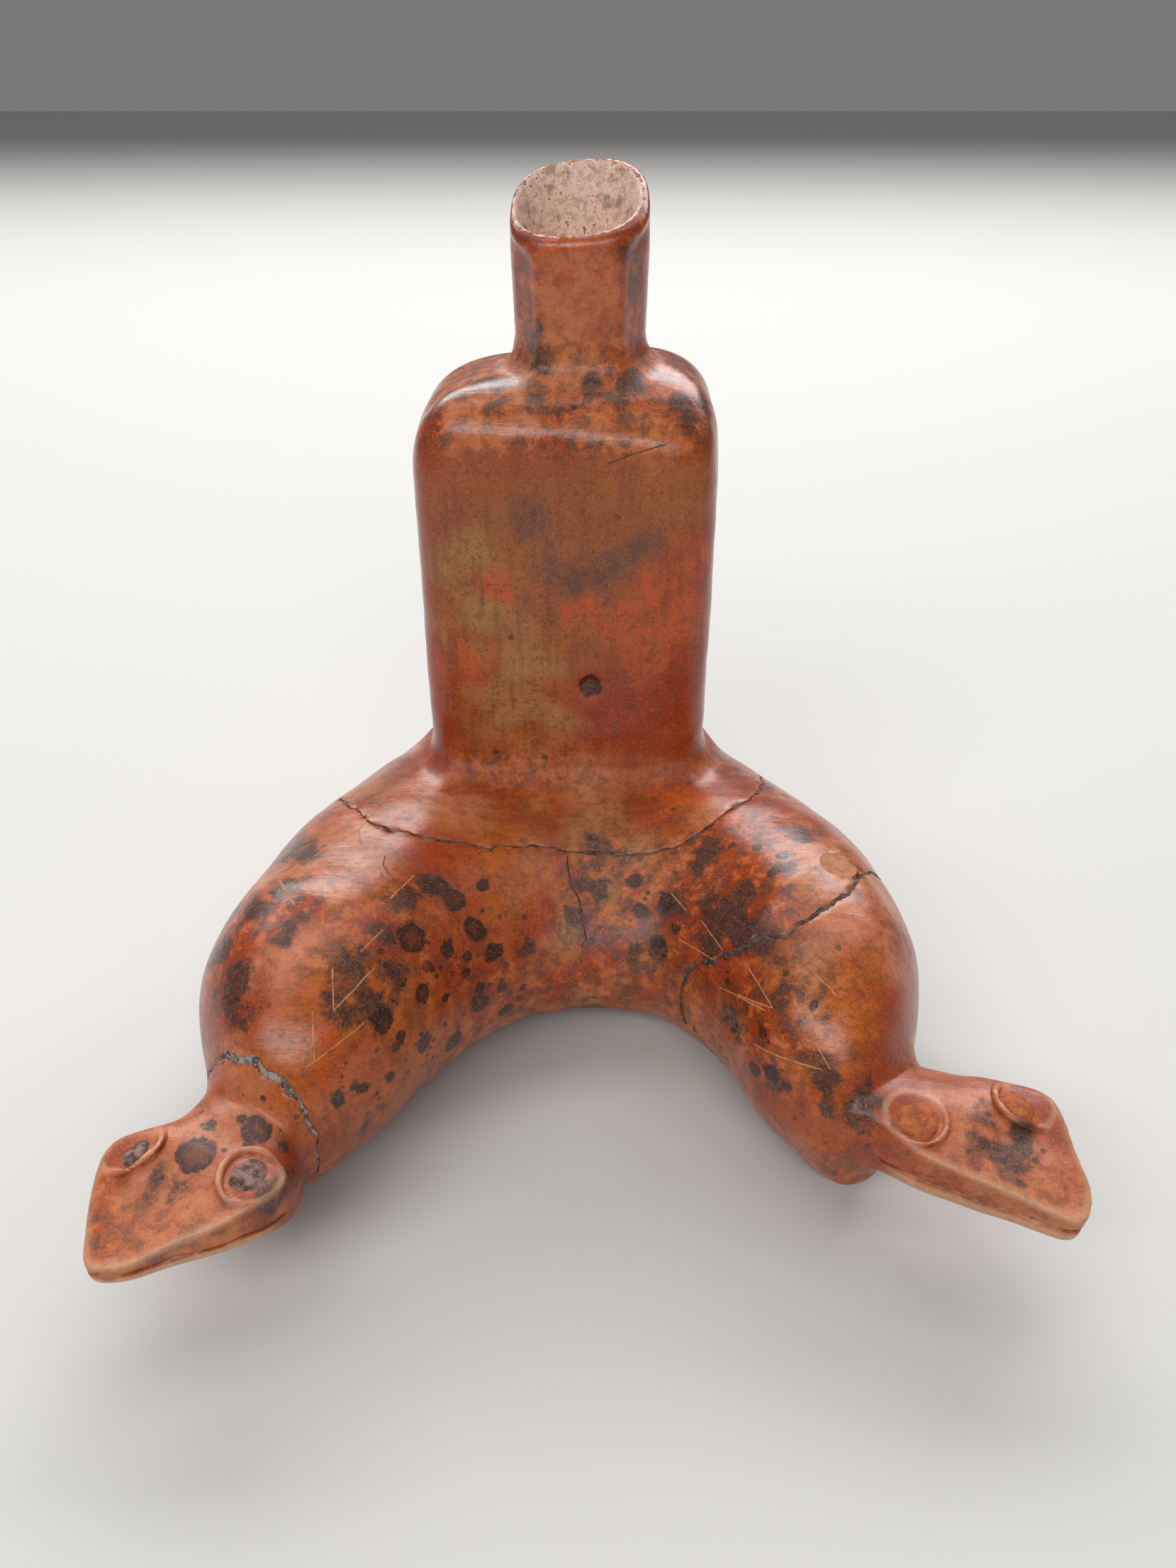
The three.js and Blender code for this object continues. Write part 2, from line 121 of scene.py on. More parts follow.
NECK_HALF, NECK_THICK, NECK_Z = 15.8, 12.5, 37.0
NECK_SHARES = [0, 0.25, 0.5, 0.75, 1]
EYE_RING, EYE_RIDGE, PELLET_HALF, HEAD_FILLET = 8.6, 1.15, 2.6, 11
UP = np.array([0, 0, 1.0])

# Meshing: cells to a block of the first rough look, points worked out at a time, the pellets' grid and
# box, the waves that make up a ripple, and the cells along each side of the grid that thins a mesh out
BLOCK, CHUNK, PELLET_STEP, PELLET_BOX, WAVES, KEYS = 4, 200000, 0.45, 8.2, 5, 8192
RIBBON_LIFT, CAMERA_PITCH = 0.05, 34


def smooth_min(a, b, reach):
    """The join of two fields, with a fillet of about that reach."""
    h = np.maximum(reach - np.abs(a - b), 0.0) / reach
    return np.minimum(a, b) - h * h * reach / 4


def smooth_max(a, b, reach):
    return -smooth_min(-a, -b, reach)


def ramp(x, low, high):
    t = np.clip((x - low) / (high - low), 0.0, 1.0)
    return t * t * (3 - 2 * t)


def far(p, place):
    """Distance from a place."""
    return np.linalg.norm(p - place, axis=1)


def ripple(p, length, seed):
    """A smooth uneven value from about -1 to 1, with bumps about that far apart."""
    rng = np.random.default_rng(seed)
    total = np.zeros(len(p))
    for _ in range(WAVES):
        way = rng.normal(size=3)
        way *= 2 * math.pi / (length * rng.uniform(0.75, 1.5)) / np.linalg.norm(way)
        total += np.sin(p @ way + rng.uniform(0, 6.28))
    return total / (WAVES ** 0.5 * 1.1)


def oval(x, y, half_x, half_y, square):
    """(q, steepness) of a superellipse: q is 1 on it, and (q - 1) / steepness is about a distance."""
    ax, ay = np.abs(x) / half_x + 1e-9, np.abs(y) / half_y + 1e-9
    q = (ax ** square + ay ** square) ** (1 / square)
    gx = (ax / q) ** (square - 1) / half_x
    gy = (ay / q) ** (square - 1) / half_y
    return q, np.sqrt(gx * gx + gy * gy)


def route(points, t):
    """The centripetal curve through a row of plan points, for each t from 0 to 1."""
    p = np.array(points, float)
    p = np.vstack([2 * p[0] - p[1], p, 2 * p[-1] - p[-2]])
    place = np.clip(t, 0, 1) * (len(points) - 1)
    i = np.minimum(place.astype(int), len(points) - 2)
    w = (place - i)[:, None]
    p0, p1, p2, p3 = p[i], p[i + 1], p[i + 2], p[i + 3]
    d0, d1, d2 = (np.sqrt(np.linalg.norm(b - a, axis=1))[:, None] for a, b in ((p0, p1), (p1, p2), (p2, p3)))
    m1 = ((p1 - p0) / d0 - (p2 - p0) / (d0 + d1) + (p2 - p1) / d1) * d1
    m2 = ((p2 - p1) / d1 - (p3 - p1) / (d1 + d2) + (p3 - p2) / d2) * d1
    return ((2 * w**3 - 3 * w**2 + 1) * p1 + (w**3 - 2 * w**2 + w) * m1
            + (3 * w**2 - 2 * w**3) * p2 + (w**3 - w**2) * m2)


def lay_out_snakes():
    """Tables over the plan at 1 mm: place across the snake, half width, middle height, half height and
    the distance beyond a snake's end, for the cross-section that stands on each point."""
    t = np.linspace(0, 1, 500)
    a = route(LEFT_INNER[::-1] + CROTCH + RIGHT_INNER, t) + AXIS[:2]
    b = route(LEFT_OUTER[::-1] + BACK + RIGHT_OUTER, t) + AXIS[:2]
    span = np.linalg.norm(b - a, axis=1)
    crest = LAP_CREST + (CREST - LAP_CREST) * ramp(np.abs(t - 0.5) * 2, 0.1, 0.6)
    close = np.minimum(1, span / CREST)
    bottom = END_RISE * (1 - close) - WORN_FLAT
    top = bottom + (crest + WORN_FLAT) * close**0.6
    x, y = np.meshgrid(*(np.arange(low, high) for low, high in zip(PLAN_LOW, PLAN_HIGH)))
    p = np.stack([x.ravel(), y.ravel()], 1)
    best = np.full(len(p), 1e9)
    table = np.zeros((len(p), 5))

    def offer(pick, w, k, over):
        k2 = min(k + 1, len(t) - 1)
        start = a[k] + (a[k2] - a[k]) * w[:, None]
        end = b[k] + (b[k2] - b[k]) * w[:, None]
        half = np.linalg.norm(end - start, axis=1) / 2
        across = np.abs(np.sum((p[pick] - (start + end) / 2) * (end - start), axis=1)) / (half * 2)
        score = np.maximum(across - half, over)
        better = score < best[pick]
        rows = pick[better]
        best[rows] = score[better]
        low = bottom[k] + (bottom[k2] - bottom[k]) * w
        high = top[k] + (top[k2] - top[k]) * w
        values = np.stack([across / half, half, (high + low) / 2, (high - low) / 2, over], 1)
        table[rows] = values[better]

    def side(k):
        d = (b[k] - a[k]) / span[k]
        return (p[:, 0] - a[k, 0]) * d[1] - (p[:, 1] - a[k, 1]) * d[0]

    def offer_end(k, distance):
        """Gives a snake's end section to the points beyond it, on the side away from the flask's axis."""
        inside = np.mean(distance[np.abs(p[:, 0] - AXIS[0]) + np.abs(p[:, 1] - AXIS[1]) < 20])
        beyond = np.flatnonzero(distance * np.sign(inside) < 0)
        offer(beyond, np.zeros(len(beyond)), k, np.abs(distance[beyond]))

    previous = side(0)
    offer_end(0, previous)
    for k in range(len(t) - 1):
        following = side(k + 1)
        pick = np.flatnonzero(previous * following <= 0)
        w = previous[pick] / (previous[pick] - following[pick] + 1e-12)
        offer(pick, np.clip(w, 0, 1), k, np.full(len(pick), -1.0 * min(k, len(t) - 1 - k)))
        previous = following
    offer_end(len(t) - 1, previous)
    return table.reshape(x.shape + (5,))


SNAKE_TABLE = lay_out_snakes()


def snakes(p):
    """Distance to the snakes' joined bodies, negative inside."""
    rows, columns = SNAKE_TABLE.shape[:2]
    x = np.clip(p[:, 0] - PLAN_LOW[0], 0, columns - 1.001)
    y = np.clip(p[:, 1] - PLAN_LOW[1], 0, rows - 1.001)
    i, j = x.astype(int), y.astype(int)
    u, v = (x - i)[:, None], (y - j)[:, None]
    s = ((SNAKE_TABLE[j, i] * (1 - u) + SNAKE_TABLE[j, i + 1] * u) * (1 - v)
         + (SNAKE_TABLE[j + 1, i] * (1 - u) + SNAKE_TABLE[j + 1, i + 1] * u) * v)
    q, steep = oval(s[:, 0] * s[:, 1], p[:, 2] - s[:, 2], s[:, 1], s[:, 3], SNAKE_SQUARE)
    return smooth_max((q - 1) / steep, s[:, 4] * 0.9, 4)


def flask(p):
    """A box with rounded shoulders, a flared skirt and a slanted plane at the front of its top."""
    x, y, z = (p - AXIS).T
    down = np.clip((SKIRT_TOP - z) / SKIRT_DEPTH, 0, 1)
    spread = SKIRT_FLARE * down**2.4
    front = ramp(-y, 12, 32)
    lift = np.clip((z - SHOULDER_LEAN * (1 - front) * x - SHOULDER) / SHOULDER_RISE, 0, 1.6)
    rounding = np.maximum(down, np.minimum(lift * 1.1, 1) * (1 - 0.7 * front))
    square = FLASK_SQUARE + (ROUNDED_SQUARE - FLASK_SQUARE) * rounding
    q, steep = oval(x, y, HALF_X + spread, HALF_Y + spread, square)
    k = 3.3 + 3 * front * (1 - ramp(np.abs(x), 26, 46))
    whole = (q**k + lift**k) ** (1 / k)
    slope = np.sqrt((steep * (q / whole) ** (k - 1)) ** 2 + ((lift / whole) ** (k - 1) / SHOULDER_RISE) ** 2)
    form = (whole - 1) / slope
    slant = (-y - SLANT_Y) * SLANT_OUT + (z - SLANT_Z + 0.09 * x + 0.0015 * x * x) * SLANT_UP
    return np.maximum(smooth_max(form, slant, np.interp(z, *SLANT_EDGE)), FLASK_FOOT - z)


def rim(p):
    """Height above the sloping plane of the spout's rim, which is lowest at its front left."""
    slope = (BACK_LIP - FRONT_LIP) / (2 * SPOUT_HALF_Y)
    x, y, z = (p - AXIS).T
    sag = RIM_LEAN * (x - SPOUT_X) - RIM_SAG * np.maximum(SPOUT_X - x, 0) ** 2
    return (z - (FRONT_LIP + BACK_LIP) / 2 - y * slope - sag) / math.hypot(1, slope)


def spout(p):
    """A square neck with chamfered corners, which turns round just under its rim."""
    x, y, z = (p - AXIS).T
    x = x - SPOUT_X
    spread = np.interp(z, *SPOUT_FLARE)
    top = rim(p)
    q, steep = oval(x, y, SPOUT_HALF_X + spread, SPOUT_HALF_Y + spread, SPOUT_SQUARE)
    rounded = (q - 1) / steep
    corner = (np.abs(x) * 0.857 + np.abs(y) * 0.514) - SPOUT_CORNER - spread
    flat = smooth_max(np.abs(y) - SPOUT_HALF_Y - spread + 0.6, np.abs(x) - SPOUT_HALF_X - spread, 3)
    faceted = smooth_max(flat, corner, 2.2)
    side = faceted + (rounded - faceted) * ramp(top, -6.5, -2.5)
    return smooth_max(np.maximum(side, SPOUT_ROOT - 14 - z), top, LIP)


def bore(p):
    """The hole down the spout, which widens to a funnel under the rim."""
    x, y, z = (p - AXIS).T
    d = rim(p)
    half_x = np.interp(d, [-FUNNEL, -8, 0, 10], [BORE_HALF, 16.8, 19.6, 22])
    q, steep = oval(x - SPOUT_X - BORE_X, y, half_x, half_x - 0.9 * ramp(d, -FUNNEL, 0), BORE_SQUARE)
    return np.maximum((q - 1) / steep, SHOULDER + 8 - z)


class Head:
    """One head: a flat-topped wedge on its own plan, with a neck, two eyes and a slit for a mouth."""

    def __init__(self, side):
        facts = HEADS[side]
        heading = math.radians(facts["heading"])
        self.facts = facts
        self.origin = np.array([*facts["middle"], 0.0]) + AXIS
        self.root = np.array([*facts["root"], NECK_Z]) + AXIS
        self.neck_end = np.array([*facts["neck_end"], (HEAD_TOP + HEAD_BASE) / 2]) + AXIS
        self.forward = np.array([math.sin(heading), -math.cos(heading), 0.0])
        self.aside = np.array([math.cos(heading), math.sin(heading), 0.0])
        self.eyes = {name: self.seat(*at) for name, at in facts["eyes"].items()}

    def seat(self, x, y, z, tilt):
        """(middle, matrix) of an eye, whose last row is square to the clay under it."""
        tilt = math.radians(tilt)
        outward = self.aside * math.sin(tilt) + UP * math.cos(tilt)
        return np.array([x, y, z]) + AXIS, np.stack([np.cross(self.forward, outward), self.forward, outward])

    def place(self, p):
        """How far each point lies towards the snout, and its height."""
        return (p - self.origin) @ self.forward, p[:, 2]

    def outline(self, p):
        """Distance outwards from the head's plan, which bulges everywhere."""
        plan = np.array(self.facts["plan"]) + AXIS[:2]
        middle = plan.mean(axis=0)
        result = None
        for a, b in zip(plan, np.roll(plan, -1, axis=0)):
            out = np.array([b[1] - a[1], a[0] - b[0]]) / np.hypot(*(b - a))
            out *= np.sign(out @ (a - middle))
            side = (p[:, :2] - a) @ out
            result = side if result is None else smooth_max(result, side, 4)
        return result

    def high(self, s):
        """Height of the flat top at s millimetres towards the snout, its bends rounded off."""
        return sum(np.interp(s + step, *self.facts["rise"]) for step in (-5, -2.5, 0, 2.5, 5)) / 5

    def wedge(self, p):
        """A flat top, steep sides that close in to the snout, and a crisp ridge between them."""
        s, z = self.place(p)
        high = self.high(s)
        ridge = np.interp(s, [-12, -2, 8, 18], [9, 4.5, 2.0, 1.2])
        side = self.outline(p) + (high - z) * self.facts["lean"] * 2 + 0.3 * ripple(p, 24, 52)
        form = smooth_max(side * 0.98, (z - high) * 0.98, ridge)
        chamfer = (self.facts["base"] - HEAD_BASE - 1) / 10 * np.maximum(side + 10, 0) * ramp(s, -8, 6)
        return smooth_max(form, (HEAD_BASE + 1 - z + chamfer) * 0.9, 4)

    def neck(self, p):
        line = self.neck_end - self.root
        length = np.linalg.norm(line)
        line = line / length
        beside = np.cross(UP, line)
        beside /= np.linalg.norm(beside)
        above = np.cross(line, beside)
        d = p - self.root
        along = d @ line
        half = NECK_HALF * np.interp(along / length, NECK_SHARES, [0.98, 1.03, 1.0, 0.94, 0.86])
        thick = NECK_THICK * np.interp(along / length, NECK_SHARES, [1.0, 1.03, 0.98, 0.84, 0.62])
        q, steep = oval(d @ beside, d @ above, half, thick, 2.2)
        return np.maximum(smooth_max((q - 1) / steep, along - length - 3, 8), -along - 4)

    def mouth(self, p):
        """The slit that runs round the snout, with a small hole left open at its tip."""
        s, z = self.place(p)
        hole_x, hole_y, size = self.facts["hole"]
        near = np.hypot(p[:, 0] - hole_x - AXIS[0], p[:, 1] - hole_y - AXIS[1])
        hole = size * np.exp(-(near / 3.4) ** 2)
        slit = np.abs(z - self.facts["mouth"] - 0.25 * ripple(p, 9, 51)) - 0.5 - hole
        depth = -2.0 - 2 * hole - self.outline(p)
        return smooth_max(smooth_max(slit, depth, 0.8), -s - 1, 1.0)

    def field(self, p):
        form = smooth_min(self.neck(p), self.wedge(p), 10) + 0.22 * ripple(p, 19, 63)
        for middle, turn in self.eyes.values():
            x, y, z = turn @ (p - middle).T
            from_middle = np.sqrt(x * x + y * y)
            mound = (np.sqrt(from_middle**2 + ((z + 3.6) * 2.4) ** 2) - EYE_RING - 0.8) * 0.7
            ring = np.sqrt((from_middle - EYE_RING - 0.45 * ripple(p, 13, 61)) ** 2 + (z - 0.1) ** 2)
            ring = ring - EYE_RIDGE * (0.82 + 0.26 * ripple(p, 9, 62))
            form = smooth_min(smooth_min(form, mound, 2), ring, 0.8)
        return smooth_max(form, -self.mouth(p), 0.7)

    def worn(self, p):
        """From 0 to 1 where the slip is rubbed pale on the lower lip and the eyes' rings, and where a pale
        highlight is painted along the ridge.
        """
        s, z = self.place(p)
        side, top = self.outline(p), z - self.high(s)
        # Painted highlight: a pale line along the ridge between the flat top and the side
        edge = np.exp(-((side - top) / 1.6) ** 2) * ramp(s, 2, 12) * ramp(top, -5, -1)
        lip = ramp(side, -5, -2) * ramp(self.facts["mouth"] - z, 0.6, 1.6) * ramp(s, 0, 8)
        result = np.maximum(0.8 * edge, 0.9 * lip)
        for middle, turn in self.eyes.values():
            x, y, up = turn @ (p - middle).T
            off = np.abs(np.hypot(x, y) - EYE_RING)
            rubbed = ramp(off, 1.5, 0.4) * ramp(up, 0.2, 1.1)
            result = np.maximum(result, rubbed * (0.55 + 0.35 * ripple(p, 9, 53)))
        return result


LEFT_HEAD, RIGHT_HEAD = Head("left"), Head("right")


def body(p):
    """The snakes and the flask without spout and heads, a little uneven as hand-built clay is."""
    form = smooth_min(snakes(p), flask(p), 13)
    for *place, radius, depth in DENTS:
        form = form + depth * ramp(far(p, place), radius, radius * 0.6) * (1 + 0.5 * ripple(p, 2.5, 5))
    return form + 0.4 * ripple(p, 48, 3) + 0.12 * ripple(p, 17, 4)


def upright_form(p):
    """The body with its spout."""
    return smooth_min(body(p), spout(p), SPOUT_FILLET)


def left_form(p):
    """The body with the left head."""
    return smooth_min(body(p), LEFT_HEAD.field(p), HEAD_FILLET)


def right_form(p):
    """The body with the swelling at the right snake's end and the right head."""
    pad = (np.linalg.norm((p - AXIS - RIGHT_PAD) / RIGHT_PAD_HALF, axis=1) - 1) * 14
    return smooth_min(smooth_min(body(p), pad, 10), RIGHT_HEAD.field(p), HEAD_FILLET)


def across_loop(p):
    """Distance outwards from the break round the flask's skirt."""
    x, y, z = (p - AXIS).T
    scale = np.interp(z, *LOOP_SCALE)
    across = np.clip(np.abs((LOOP_FRONT[:, 0] - LOOP_X) / LOOP_HALF_X), 0, 0.99)
    front = LOOP_Y - LOOP_HALF_Y * (1 - across ** 3) ** (1 / 3)
    shift = np.interp(x, LOOP_FRONT[:, 0], LOOP_FRONT[:, 1] - front) * ramp(-y, 15, 50)
    shift *= ramp(x, -90, -75) * (1 - ramp(x, 67, 80))
    q, steep = oval(x - LOOP_X, y - LOOP_Y - shift, LOOP_HALF_X * scale, LOOP_HALF_Y * scale, 3)
    side = (q - 1) / steep + 0.5 * ripple(p, 9, 11) + 0.18 * ripple(p, 2.6, 12)
    return np.maximum(side, LOOP_BOTTOM - z)


def across_seam(p):
    """Distance to the right of the seam between the snakes."""
    return p[:, 0] - np.interp(p[:, 1], SEAM_Y, SEAM_X) + 0.25 * ripple(p, 7, 13)


def across_break(p):
    """Distance in front of the break across the right snake."""
    line = BREAK_LINE + AXIS[:2]
    best = np.full(len(p), 1e9)
    signed = np.zeros(len(p))
    for a, b in zip(line[:-1], line[1:]):
        d = b - a
        w = np.clip(((p[:, :2] - a) @ d) / (d @ d), 0, 1)
        gap = p[:, :2] - a - w[:, None] * d
        distance = np.sqrt(np.sum(gap**2, axis=1))
        turn = (p[:, 0] - a[0]) * d[1] - (p[:, 1] - a[1]) * d[0]
        better = distance < best - 1e-9
        best = np.where(better, distance, best)
        signed = np.where(better, np.sign(turn) * distance, signed)
    return signed + 0.35 * ripple(p, 6, 14) + 0.15 * ripple(p, 2.4, 15)


def across_patch(p):
    """Distance outwards from the round patch beside that break."""
    d = p[:, :2] - AXIS[:2] - PATCH
    return np.sqrt(np.sum(d * d, axis=1)) - PATCH_RADIUS + 0.5 * ripple(p, 9, 16)


def across_neck(p):
    """Distance beyond the mend in the left neck."""
    way = LEFT_HEAD.neck_end - LEFT_HEAD.root
    way[2] = 0
    way /= np.linalg.norm(way)
    return (p - LEFT_HEAD.root) @ way - NECK_MEND + 0.6 * ripple(p, 11, 17) + 0.2 * ripple(p, 3, 18)


def neck_mend(p):
    """Half the width of that mend, which is widest on top of the neck."""
    near = np.exp(-(far(p, NECK_MEND_TOP) / 11) ** 2)
    return 0.3 + 1.3 * near * (0.8 + 0.6 * ripple(p, 5, 20))


def crust(p, distance):
    """Wears back the clay's skin a little at the edge of a break."""
    return 0.35 * np.exp(-np.abs(distance) / 0.7) * (1 + ripple(p, 5, 19))


def sherd(form, p, *cuts):
    """The clay between a form and the hollow inside, without what lies above 0 in any of the cuts."""
    hollow = smooth_min(body(p) + WALL, bore(p), 3)
    result = smooth_max(smooth_max(form, -hollow, 1.2), -p[:, 2], 1.5)
    for cut in cuts:
        result = np.maximum(result, cut)
    return result


def flask_piece(p):
    edge = across_loop(p) + HALF_LOOP
    return sherd(upright_form(p) + crust(p, edge), p, edge + GAP)


def left_body_piece(p):
    loop, neck = across_loop(p), across_neck(p) + neck_mend(p)
    form = left_form(p) + crust(p, loop - HALF_LOOP) + crust(p, neck)
    return sherd(form, p, HALF_LOOP + GAP - loop, across_seam(p) + SEAM_GAP, neck + GAP)


def left_head_piece(p):
    neck = across_neck(p) - neck_mend(p)
    return sherd(left_form(p) + crust(p, neck), p, GAP - neck)


def right_root_piece(p):
    loop, line = across_loop(p), across_break(p)
    form = body(p) + crust(p, loop - HALF_LOOP) + crust(p, line + HALF_BREAK)
    return sherd(form, p, HALF_LOOP + GAP - loop, SEAM_GAP - across_seam(p), line + HALF_BREAK + GAP,
                 GAP - across_patch(p))


def right_end_piece(p):
    line = across_break(p)
    return sherd(right_form(p) + crust(p, line - HALF_BREAK), p, HALF_BREAK + GAP - line)


def loop_filler(p):
    form = upright_form(p) + 0.35 + 0.25 * ripple(p, 3.1, 21)
    return sherd(form, p, np.abs(across_loop(p)) - HALF_LOOP)


def break_filler(p):
    rough = ramp(AXIS[1] - 112 - p[:, 1], 0, 6) * (1 - ramp(p[:, 0], 34, 48))
    form = body(p) + 0.3 + 0.25 * ripple(p, 2.9, 22) + 0.5 * rough * (1 + ripple(p, 1.9, 23))
    return sherd(form, p, np.abs(across_break(p)) - HALF_BREAK, 0.3 - p[:, 2])


def neck_filler(p):
    form = left_form(p) + 0.3 + 0.2 * ripple(p, 2.9, 24)
    return sherd(form, p, np.abs(across_neck(p)) - neck_mend(p))


def patch_piece(p):
    form = body(p) + 0.1 + 0.1 * ripple(p, 4, 25)
    return sherd(form, p, across_patch(p), across_break(p) + HALF_BREAK + GAP)


def pellet(middle, turn, radius):
    """The field of a lens-shaped pellet in an eye."""
    def field(p):
        x, y, z = turn @ (p - middle).T
        reach = np.sqrt(x * x + y * y + (z * radius / PELLET_HALF) ** 2)
        return (reach - radius) * 0.6 + 0.2 * ripple(p, 5, 41)
    return field


def evaluate(field, points):
    return np.concatenate([field(points[i:i + CHUNK]) for i in range(0, len(points), CHUNK)])


def sample(field, low, high, step):
    """A field's values on a grid, worked out only in the blocks of cells that the surface may cross."""
    cells = np.ceil((np.array(high) - low) / (step * BLOCK)).astype(int)
    index = np.stack(np.meshgrid(*(np.arange(n) for n in cells), indexing="ij"), -1).reshape(-1, 3)
    coarse = evaluate(field, low + (index + 0.5) * step * BLOCK).reshape(cells)
    # a corner is 0.87 of a block away, and a field may rise 1.7 times as fast as the distance
    near = np.abs(coarse) < step * BLOCK * 0.87 * 1.7 + 0.6

    def spread(a):
        return a.repeat(BLOCK, 0).repeat(BLOCK, 1).repeat(BLOCK, 2)
    values = np.pad(np.where(spread(coarse) > 0, 50.0, -50.0), [(0, 1)] * 3, mode="edge")
    mask, fine = np.zeros(values.shape, bool), spread(near)
    for i, j, k in np.ndindex(2, 2, 2):
        mask[i:i + fine.shape[0], j:j + fine.shape[1], k:k + fine.shape[2]] |= fine
    values[mask] = evaluate(field, low + np.argwhere(mask) * step)
    for axis in range(3):
        edge = np.moveaxis(values, axis, 0)
        edge[0] = np.abs(edge[0]) + 1e-3
        edge[-1] = np.abs(edge[-1]) + 1e-3
    return values


def crossings(field, values, low, step, axis):
    """(places, slopes, start cells, whether it faces outwards) where grid edges along an axis cross 0."""
    step_on = np.eye(3, dtype=int)[axis]
    a = values[tuple(slice(0, n - d) for n, d in zip(values.shape, step_on))]
    b = values[tuple(slice(d, None) for d in step_on)]
    start = np.argwhere((a < 0) != (b < 0))
    fa, fb = a[tuple(start.T)], b[tuple(start.T)]
    outwards = fa < 0
    ta, tb = np.zeros(len(start)), np.ones(len(start))
    base = low + start * step
    for _ in range(3):
        t = ta + (tb - ta) * np.clip(fa / (fa - fb), 0.02, 0.98)
        f = evaluate(field, base + t[:, None] * step_on * step)
        same = (f < 0) == (fa < 0)
        ta, fa = np.where(same, t, ta), np.where(same, f, fa)
        tb, fb = np.where(same, tb, t), np.where(same, fb, f)
    place = base + (ta + (tb - ta) * fa / (fa - fb))[:, None] * step_on * step
    tiny = step * 0.02
    here = evaluate(field, place)
    slope = np.stack([evaluate(field, place + d * tiny) - here for d in np.eye(3)], 1)
    slope /= np.linalg.norm(slope, axis=1)[:, None] + 1e-12
    return place, slope, start, outwards


def contour(field, low, high, step):
    """(points, quads) of the surface where a field is 0, with its sharp edges kept."""
    low = np.array(low, float)
    values = sample(field, low, high, step)
    size = values.shape
    stride = np.array([(size[1] - 1) * (size[2] - 1), size[2] - 1, 1])
    found = []
    for axis in range(3):
        place, slope, start, outwards = crossings(field, values, low, step, axis)
        u, v = np.eye(3, dtype=int)[(axis + 1) % 3], np.eye(3, dtype=int)[(axis + 2) % 3]
        around = [cell @ stride for cell in (start - u - v, start - v, start, start - u)]
        found.append((place, slope, np.stack(around, 1), outwards))
    place, slope, ids, facing = (np.concatenate(group) for group in zip(*found))
    used, quads = np.unique(ids, return_inverse=True)
    quads = quads.reshape(-1, 4)
    cell = np.stack([used // stride[0], used % stride[0] // stride[1], used % stride[1]], 1)
    middle = low + (cell + 0.5) * step

    owner = quads.ravel()
    offset = np.repeat(place, 4, 0) - middle[owner]
    normal = np.repeat(slope, 4, 0)
    reach = np.sum(offset * normal, axis=1)

    def gather(weights):
        return np.bincount(owner, weights=weights, minlength=len(used))
    count = gather(np.ones(len(owner)))
    mean = np.stack([gather(offset[:, i]) for i in range(3)], 1) / count[:, None]
    soft = 0.02 * count
    matrix, right = np.empty((len(used), 3, 3)), np.empty((len(used), 3))
    for i in range(3):
        right[:, i] = gather(normal[:, i] * reach) + soft * mean[:, i]
        for j in range(3):
            matrix[:, i, j] = gather(normal[:, i] * normal[:, j]) + (soft if i == j else 0)
    at = np.clip(np.linalg.solve(matrix, right[:, :, None])[:, :, 0], -step / 2, step / 2)
    return middle + at, np.where(facing[:, None], quads, quads[:, ::-1])


def thin_out(points, quads, inner, size):
    """Merges the points of the unseen inner skin that share a block of that size."""
    key = np.floor(points / size).astype(np.int64) + KEYS // 2
    key = (key[:, 0] * KEYS + key[:, 1]) * KEYS + key[:, 2]
    key = np.where(inner, key, -1 - np.arange(len(points)))
    _, group = np.unique(key, return_inverse=True)
    group = group.ravel()
    count = np.bincount(group)
    merged = np.stack([np.bincount(group, weights=points[:, i]) / count for i in range(3)], 1)
    return merged, group[quads]


def put(name, data):
    """Adds an object to the scene."""
    thing = bpy.data.objects.new(name, data)
    bpy.context.scene.collection.objects.link(thing)
    return thing


def fit(piece, slot, nodes):
    """Hangs a piece under the root body and hides the CAD nodes it stands for; the slot is not used."""
    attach(piece, "root")
    if nodes:
        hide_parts(*nodes)


def make_piece(name, points, quads, material, slot, nodes):
    """A finished object, at the origin, that stands for those CAD nodes."""
    same = quads == np.roll(quads, -1, axis=1)
    twice = (quads[:, 0] == quads[:, 2]) | (quads[:, 1] == quads[:, 3])
    keep = (same.sum(1) <= 1) & ~twice
    quads, same = quads[keep], same[keep]
    loops = quads.ravel()[~same.ravel()]
    total = 4 - same.sum(1)
    mesh = bpy.data.meshes.new(name)
    mesh.vertices.add(len(points))
    mesh.vertices.foreach_set("co", (points * MM).astype(np.float32).ravel())
    mesh.loops.add(len(loops))
    mesh.loops.foreach_set("vertex_index", loops.astype(np.int32))
    mesh.polygons.add(len(total))
    mesh.polygons.foreach_set("loop_start", np.concatenate([[0], np.cumsum(total)[:-1]]).astype(np.int32))
    mesh.polygons.foreach_set("loop_total", total.astype(np.int32))
    mesh.polygons.foreach_set("use_smooth", np.ones(len(total), bool))
    mesh.update(calc_edges=True)
    mesh.validate()
    mesh.set_sharp_from_angle(angle=math.radians(48))
    mesh.materials.append(material)
    piece = put(name, mesh)
    fit(piece, slot, nodes)
    return piece
